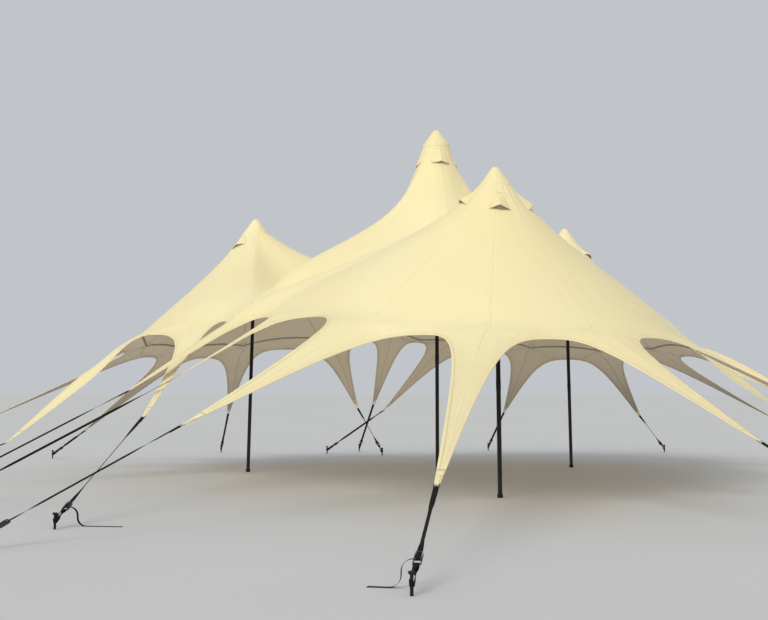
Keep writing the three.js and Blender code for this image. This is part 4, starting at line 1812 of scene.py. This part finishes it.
@dataclass
class Pole:
    """A steel pole in three sleeved lengths, with a rubber shoe and a cone for a head."""

    name: str
    centre: Plan
    peak: float
    lean: Plan
    radius: float = 0.034
    sleeve: float = 0.0365
    sleeve_length: float = 0.16

    def _stand(self, shape: Shape) -> Shape:
        """Moves a turned shape to the pole's place, leaning from its foot in to its peak.

        Args:
            shape: The turned shape.

        Returns:
            The same shape, moved.
        """
        for vert in shape.verts:
            share = 1 - vert.co.z / self.peak
            vert.co.x += self.centre[0] + self.lean[0] * share
            vert.co.y += self.centre[1] + self.lean[1] * share
        return shape

    def build(self) -> list[Piece]:
        """Makes the pole.

        Returns:
            Its tube, shoe and head.
        """
        head, half, wide = self.peak - 0.049, self.sleeve_length / 2, self.sleeve
        lower = [
            (self.radius, -half), (wide - 0.001, 0.001 - half), (wide, 0.003 - half), (wide, -0.0015)]
        sleeve = [*lower, (wide - 0.0015, 0.0), *((radius, -z) for radius, z in reversed(lower))]
        tube = [(0.0, 0.02), (self.radius, 0.02)]
        tube += [(radius, self.peak * k / 3 + z) for k in (1, 2) for radius, z in sleeve]
        tube += [(self.radius, head - 0.024), (0.0, head - 0.024)]
        shoe = [
            (0.0, 0.0), (0.039, 0.0), (0.042, 0.003), (0.042, 0.012), (0.0405, 0.014), (0.042, 0.016),
            (0.042, 0.046), (0.0405, 0.054), (0.037, 0.059), (0.0342, 0.06), (0.0342, 0.05)]
        crown = [(radius, head + z) for radius, z in (
            (0.0, -0.028), (0.055, -0.028), (0.059, -0.026), (0.061, -0.022), (0.061, -0.014),
            (0.058, -0.006), (0.036, 0.031), (0.03, 0.035), (0.0, 0.036))]
        pieces = []
        for part, profile in (("tube", tube), ("shoe", shoe), ("head", crown)):
            finish = Palette.rubber if part == "shoe" else Palette.black
            shape = self._stand(lathe(profile))
            pieces.append(show(f"{self.name}_{part}", shape, [finish], Slot.POLE, bevel=0.0008))
        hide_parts(self.name)
        return pieces


@dataclass
class Ratchet:
    """A strap's ratchet, built at the origin with the strap along X and its spool along Y."""

    length: float = 0.17
    half_width: float = 0.031
    plate: float = 0.003

    @staticmethod
    def _plate(shape: Shape, outline: Sequence[Pair], y: float, thick: float) -> None:
        """Adds a flat plate that stands across Y.

        Args:
            shape: Takes the plate.
            outline: Its corners in X and Z.
            y: Where its inner face lies.
            thick: Its thickness, towards the outside.
        """
        face = shape.faces.new([shape.verts.new((x, y, z)) for x, z in outline])
        verts = new_verts(bmesh.ops.extrude_face_region(shape, geom=[face]))
        bmesh.ops.translate(shape, verts=verts, vec=(0, math.copysign(thick, y), 0))

    @staticmethod
    def _bar(shape: Shape, middle: Sequence[float], radius: float, half: float, sides: int = 14) -> None:
        """Adds a round bar along Y.

        Args:
            shape: Takes the bar.
            middle: Its middle.
            radius: Its radius.
            half: Half its length.
            sides: How many faces go round it.
        """
        place = Matrix.Translation(middle) @ Matrix.Rotation(math.pi / 2, 4, "X")
        bmesh.ops.create_cone(
            shape, cap_ends=True, segments=sides, radius1=radius, radius2=radius,
            depth=2 * half, matrix=place)

    def build(self) -> Shape:
        """Makes the ratchet.

        Returns:
            Its shape, to be copied onto each strap.
        """
        shape, half, wide = bmesh.new(), self.length / 2, self.half_width
        frame = [
            (-half, -0.009), (-half + 0.02, -0.017), (0.02, -0.02), (half - 0.012, -0.013),
            (half, -0.004), (half, 0.006), (half - 0.012, 0.012), (0.02, 0.014),
            (-half + 0.03, 0.011), (-half, 0.002)]
        handle = [
            (0.012, -0.004), (0.016, 0.008), (0.008, 0.018), (-0.03, 0.0215), (-half + 0.008, 0.0215),
            (-half, 0.017), (-half + 0.004, 0.012), (-0.03, 0.01), (-0.004, -0.004)]
        for side in (-1, 1):
            self._plate(shape, frame, side * wide, self.plate)
            self._plate(shape, handle, side * (wide - 0.006), 0.0028)
            self._bar(shape, (0, side * (wide - 0.009), 0), 0.0185, 0.0015, sides=11)
        for x, z, radius, past in (
            (0.0, 0.0, 0.0065, 0.005), (half - 0.018, -0.001, 0.0055, 0.004),
            (-half + 0.01, 0.0165, 0.0045, -0.006), (-0.04, -0.011, 0.004, 0.003),
        ):
            self._bar(shape, (x, 0, z), radius, wide + past)
        bmesh.ops.recalc_face_normals(shape, faces=shape.faces)
        return shape


@dataclass
class Link:
    """The square link of steel wire at a strap's upper end, built at the origin in the XY plane."""

    half_length: float = 0.027
    half_width: float = 0.029
    corner: float = 0.008
    wire: float = 0.0036

    def build(self) -> Shape:
        """Sweeps the wire round the link's four sides and corners.

        Returns:
            The link's shape, to be copied onto each strap.
        """
        shape = bmesh.new()
        x, y = self.half_length - self.corner, self.half_width - self.corner
        place = Matrix.Translation((-self.half_length, -y, 0)) @ Matrix.Rotation(math.pi / 2, 4, "X")
        circle = bmesh.ops.create_circle(shape, segments=10, radius=self.wire, matrix=place)["verts"]
        edges = list({edge for vert in circle for edge in vert.link_edges})
        for side, centre in (
            ((0, 2 * y, 0), (-x, y, 0)), ((2 * x, 0, 0), (x, y, 0)),
            ((0, -2 * y, 0), (x, -y, 0)), ((-2 * x, 0, 0), (-x, -y, 0)),
        ):
            grown = bmesh.ops.extrude_edge_only(shape, edges=edges)
            verts = new_verts(grown)
            bmesh.ops.translate(shape, verts=verts, vec=side)
            grown_edges = [item for item in grown["geom"] if isinstance(item, bmesh.types.BMEdge)]
            edges = [edge for edge in grown_edges if set(edge.verts) <= set(verts)]
            turned = bmesh.ops.spin(
                shape, geom=[*verts, *edges], cent=centre, axis=(0, 0, 1), dvec=(0, 0, 0),
                angle=-math.pi / 2, steps=6, use_merge=False, use_normal_flip=False, use_duplicate=False)
            edges = [item for item in turned["geom_last"] if isinstance(item, bmesh.types.BMEdge)]
        bmesh.ops.remove_doubles(shape, verts=shape.verts, dist=1e-5)
        bmesh.ops.recalc_face_normals(shape, faces=shape.faces)
        return shape


@dataclass
class Strap:
    """A taut strap from an arm's tip to its peg: link, webbing, ratchet, loop and peg.

    The webbing leans to one side along its long run, which keeps it from humming in the wind.
    """

    arm: Arm
    width: float = 0.05
    webbing: float = 0.0018
    ratchet_at: float = 0.335
    peg_height: float = 0.095
    lean: float = 38.0
    lean_steps: int = 36
    fixed: float = 0.24
    bar_bend: float = 0.005
    spool_bend: float = 0.014
    link_at: float = 0.0325
    stub: float = 0.17
    stub_width: float = 0.042

    def __post_init__(self) -> None:
        """Finds the strap's own axes: along it, across it and up from it."""
        start = self.arm.tip_point - Vector((0, 0, 0.0015))
        end = self.arm.peg_point + Vector((0, 0, self.peg_height))
        self.length = (end - start).length
        along = (end - start).normalized()
        way = heading(self.arm.axis)
        across = Vector((-way[1], way[0], 0.0))
        self.frame = Matrix((along, across, along.cross(across))).transposed().to_4x4()
        self.frame.translation = start

    def _band(self, line: Sequence[tuple[Vector, Vector]]) -> list[list[Vector]]:
        """Rows across a band of webbing, from its middle points and the ways across it."""
        sides = self.width / 2, 0, -self.width / 2
        return [[self.frame @ (point + way * side) for side in sides] for point, way in line]

    def _upper(self) -> list[tuple[Vector, Vector]]:
        """The long run: back from its sewn end, round the link, and down to the spool.

        Returns:
            Its middle points, each with the way across it.
        """
        bar = self.link_at + Link.half_length
        spool = self.length - self.ratchet_at
        start, run = bar + self.fixed, spool - bar - self.fixed - 0.11
        bend, wound = self.bar_bend, self.spool_bend
        sewn = (0.155, -0.0035), (0.14, -0.0042), (0.07, -0.0045), (0.008, -0.0045)
        points = [(bar + x, z) for x, z in sewn]
        points += [(bar - bend * math.sin(a), -bend * math.cos(a)) for a in np.linspace(0, math.pi, 7)]
        points += [(bar + 0.01, 0.0045), (bar + 0.14, 0.0022)]
        points += [(start + run * k / self.lean_steps, 0.0008) for k in range(self.lean_steps + 1)]
        points += [(spool - 0.06, 0.003)]
        points += [(spool + wound * math.sin(a), wound * math.cos(a)) for a in np.linspace(-0.5, 3.6, 14)]
        line = []
        for x, z in points:
            share = min(1.0, max(0.0, (x - start) / run))
            ease = min(1.0, share / 0.25, (1 - share) / 0.2)
            turn = math.radians(self.lean) * ease * ease * (3 - 2 * ease)
            line.append((Vector((x, 0, z)), Vector((0, math.cos(turn), math.sin(turn)))))
        return line

    def _stub(self, fabric: Fabric) -> list[list[Vector]]:
        """The tape that is sewn along the arm's tip and folded round the link's near bar.

        Args:
            fabric: The canopy.

        Returns:
            The rows, from the upper face round the bar to the lower one.
        """
        way = Vector((*heading(self.arm.axis), 0.0))
        tip, across = self.arm.tip_point, self.frame.to_3x3() @ Vector((0, self.stub_width / 2, 0))
        inner = spaced([tip - way * self.stub, tip - way * 0.012], 0.025)
        top = [fabric.lift(point, Side.TOP, 0.0042) for point in inner]
        under = [fabric.lift(point, Side.UNDER, 0.0042) for point in inner]
        near = self.link_at - Link.half_length
        round_bar = [
            self.frame @ Vector((near + 0.0048 * math.cos(a), 0, 0.0048 * math.sin(a)))
            for a in np.linspace(math.pi / 2, -math.pi / 2, 7)
        ]
        return [[point + across, point, point - across] for point in (*top, *round_bar, *reversed(under))]

    def _loop(self) -> list[tuple[Vector, Vector]]:
        """The short loop from the ratchet's bolt, with a quarter turn, round the peg and back.

        Returns:
            Its middle points, each with the way across it.
        """
        bolt, reach = self.length - self.ratchet_at + 0.067, self.length
        line = []
        for k in range(15):
            share = k / 14
            x = bolt + (reach - bolt) * share
            turn = (math.pi / 2) * min(1.0, max(0.0, (share - 0.12) / 0.55))
            away = 0.008 + 0.012 * share
            up = Vector((0, -math.sin(turn), math.cos(turn)))
            line.append((Vector((x, 0, 0)) + up * away, Vector((0, math.cos(turn), math.sin(turn)))))
        around = [
            (Vector((reach + 0.02 * math.sin(a), -0.02 * math.cos(a), 0)), Vector((0, 0, 1)))
            for a in np.linspace(0, math.pi, 9)[1:-1]
        ]
        back = [(Vector((p.x, -p.y, -p.z)), way) for p, way in reversed(line)]
        return [*line, *around, *back]

    def build(self, fabric: Fabric, stubs: Cloth, ratchet: bpy.types.Mesh, link: bpy.types.Mesh) -> None:
        """Makes the strap's webbing, its steel and its peg.

        Args:
            fabric: The canopy.
            stubs: Takes the tape that holds the strap's link.
            ratchet: The ratchet's mesh, which is copied.
            link: The link's mesh, which is copied.
        """
        name = f"strap_{self.arm.name}"
        stubs.add(self._stub(fabric))
        cloth = Cloth()
        cloth.add(self._band(self._upper()))
        cloth.add(self._band(self._loop()))
        web = show(f"{name}_webbing", cloth.shape, [Palette.webbing], Slot.STRAP, self.webbing)
        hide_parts(name)
        steel = bmesh.new()
        for pattern, along in ((ratchet, self.length - self.ratchet_at), (link, self.link_at)):
            kept = set(steel.verts)
            steel.from_mesh(pattern)
            verts = [vert for vert in steel.verts if vert not in kept]
            bmesh.ops.transform(steel, matrix=self.frame @ Matrix.Translation((along, 0, 0)), verts=verts)
        pegs = lathe([
            (0.0, 0.0), (0.0145, 0.0), (0.0145, 0.155), (0.017, 0.162), (0.026, 0.168), (0.0295, 0.174),
            (0.03, 0.182), (0.027, 0.188), (0.018, 0.19), (0.0, 0.19)], steps=20)
        bmesh.ops.translate(pegs, verts=pegs.verts, vec=self.arm.peg_point)
        show(f"{name}_ratchet", steel, [Palette.zinc], Slot.STRAP, bevel=0.0006)
        show(f"{name}_peg", pegs, [Palette.iron], Slot.STRAP, bevel=0.0008)


@dataclass
class LooseTail:
    """The free end of one strap's webbing: off the ratchet's side, down, and along the ground.

    Its side is 1 or -1: clockwise or anticlockwise of the arm, seen from above.
    """

    arm: Arm
    side: int
    on_ground: float
    width: float = 0.05
    bend: float = 0.1
    from_peg: float = 0.305
    peg_height: float = 0.095
    out: float = 0.0373
    lift: float = 0.0023
    webbing: float = 0.0018

    def _line(self) -> list[Plan]:
        """The tail's middle line, as distance out from the strap and height.

        Returns:
            The line's points.
        """
        top, bend = self.arm.height - 0.007, self.bend
        share = (self.arm.peg - self.from_peg - self.arm.tip) / (self.arm.peg - self.arm.tip)
        high = self.out, top + (self.peg_height - top) * share - bend
        low = self.out + 2 * bend, self.lift + bend
        turns = np.linspace(0, math.pi / 2, 10)
        line = [(high[0] + bend * math.sin(a), high[1] + bend * math.cos(a)) for a in turns]
        line += [(low[0] - bend * math.cos(a), low[1] - bend * math.sin(a)) for a in turns]
        steps = round(self.on_ground / 0.036)
        return line + [(low[0] + self.on_ground * k / steps, self.lift) for k in range(1, steps + 1)]

    def build(self) -> Piece:
        """Returns:
            The tail.
        """
        way = heading(self.arm.axis)
        aside = Vector((way[1], -way[0], 0.0)) * self.side
        back = Vector((-way[0], -way[1], 0.0)) * self.side
        root = Vector((*polar(self.arm.foot, self.arm.axis, self.arm.peg - self.from_peg), 0.0))
        path = [root + aside * x + Vector((0, 0, z)) for x, z in self._line()]
        cloth = Cloth()
        cloth.add([[point + back * (self.width * (k / 4 - 0.5)) for k in range(5)] for point in path])
        tail = show(f"tail_{self.arm.name}_webbing", cloth.shape, [Palette.webbing], Slot.STRAP)
        solid = tail.modifiers.new("thickness", "SOLIDIFY")
        solid.thickness, solid.offset = self.webbing, 0.0
        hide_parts(f"tail_{self.arm.name}")
        length = sum((b - a).length for a, b in zip(path, path[1:]))
        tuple(path[0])
        return tail


@dataclass
class Studio:
    """A pale floor, soft light, and the camera at the photograph's place."""

    eye: tuple[float, float, float] = (-0.987, -19.6, 1.57)
    lens: float = 49.33
    pitch: float = 4.44
    floor_size: float = 900.0
    bounce_size: float = 12.0
    bounce_power: float = 250.0

    def build(self) -> None:
        """Sets the stage."""
        shape = bmesh.new()
        bmesh.ops.create_grid(shape, x_segments=1, y_segments=1, size=self.floor_size / 2)
        bmesh.ops.translate(shape, verts=shape.verts, vec=(0, 0, -0.001))
        floor = placed("studio_floor", mesh_of("studio_floor", shape))
        floor.data.materials.append(StudioFloor("studio_floor", (0.62, 0.62, 0.61)).build())
        floor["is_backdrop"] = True
        world = bpy.data.worlds.new("studio_light")
        bpy.context.scene.world = world
        world.use_nodes = True
        sky = world.node_tree.nodes["Background"]
        sky.inputs["Color"].default_value = (0.86, 0.9, 0.95, 1.0)
        sky.inputs["Strength"].default_value = 0.62
        for name, energy, turn, angle in (
            ("key_light", 1.52, (46, -34, 0), 30.0),
            ("fill_light", 0.45, (72, -30, 0), 60.0),
        ):
            lamp = bpy.data.lights.new(name, "SUN")
            lamp.energy, lamp.angle = energy, math.radians(angle)
            lamp.color = (1.0, 0.965, 0.9)
            placed(name, lamp).rotation_euler = [math.radians(part) for part in turn]
        soft = bpy.data.lights.new("bounce_light", "AREA")
        soft.shape, soft.size, soft.energy = "DISK", self.bounce_size, self.bounce_power
        soft.color = (1.0, 0.97, 0.92)
        bounce = placed("bounce_light", soft)
        bounce.location, bounce.rotation_euler = (0.0, 0.0, 0.02), (math.pi, 0.0, 0.0)
        bounce.visible_camera = False
        bpy.context.scene.view_settings.view_transform = "Standard"
        data = bpy.data.cameras.new("camera")
        data.sensor_width, data.lens = 36.0, self.lens
        data.clip_end = 2000.0
        camera = placed("camera", data)
        camera.location = self.eye
        camera.rotation_euler = (math.radians(90 + self.pitch), 0.0, 0.0)
        bpy.context.scene.camera = camera


@dataclass
class StarTent:
    """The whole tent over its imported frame."""

    frame: dict
    tails: Sequence[tuple[int, int, int, float]] = ((0, 3, 1, 0.18), (2, 6, -1, 0.45))
    cap_flat: Pair = (0.81, 0.58)
    cap_area: float = 0.33

    def build(self) -> None:
        """Builds every sub-assembly in order."""
        lobes, valleys = tent_plan()
        for lobe, number, side, on_ground in self.tails:
            LooseTail(lobes[lobe].arms[number - 1], side, on_ground).build()
        canopy = Canopy(CanopyNet(lobes, valleys))
        sheet = canopy.build()
        panels = ("saddle_", "panel_", "valley_arm_")
        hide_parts(*(name for name in self.frame["nodes"] if name.startswith(panels)))
        trims = Seams(canopy).build() + Vents(canopy).build() + self._straps(canopy)
        peaks = [("centre", CENTRE, CENTRE_PEAK, CENTRE)]
        for lobe in lobes:
            lean = polar(CENTRE, lobe.axis, FOOT_OUTWARD)
            peaks.append((lobe.name, lobe.pole, OUTER_PEAK, lean))
        heads = [f"pole_{name}_head" for name, *_ in peaks]
        for (name, place, peak, lean), head in zip(peaks, heads):
            Pole(f"pole_{name}", place, peak, lean).build()
            cap, seams = Cap(f"cap_{name}", place, peak).build(canopy.fabric)

    def _straps(self, canopy: Canopy) -> list[Piece]:
        """Makes every strap.

        Args:
            canopy: The canopy, whose arms the straps hold.

        Returns:
            The one piece of them that is sewn to the canopy: the tapes round their links.
        """
        patterns = [mesh_of("pattern", maker.build()) for maker in (Ratchet(), Link())]
        stubs = Cloth()
        for arm in canopy.net.arms:
            Strap(arm).build(canopy.fabric, stubs, *patterns)
        for pattern in patterns:
            bpy.data.meshes.remove(pattern)
        return [show("tip_stubs", stubs.shape, [Palette.cream_tape], Slot.CANOPY, 0.0014)]


def corners() -> list[list[float]]:
    """The lowest and highest corner of all that is shown."""
    return [list(corner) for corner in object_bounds()]


def main() -> None:
    """Loads the frame, builds the tent on it and sets the stage."""
    logging.basicConfig(level=logging.INFO, format="%(name)s: %(message)s")
    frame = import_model()
    Studio().build()
    StarTent(frame).build()


if __name__ == "__main__":
    main()
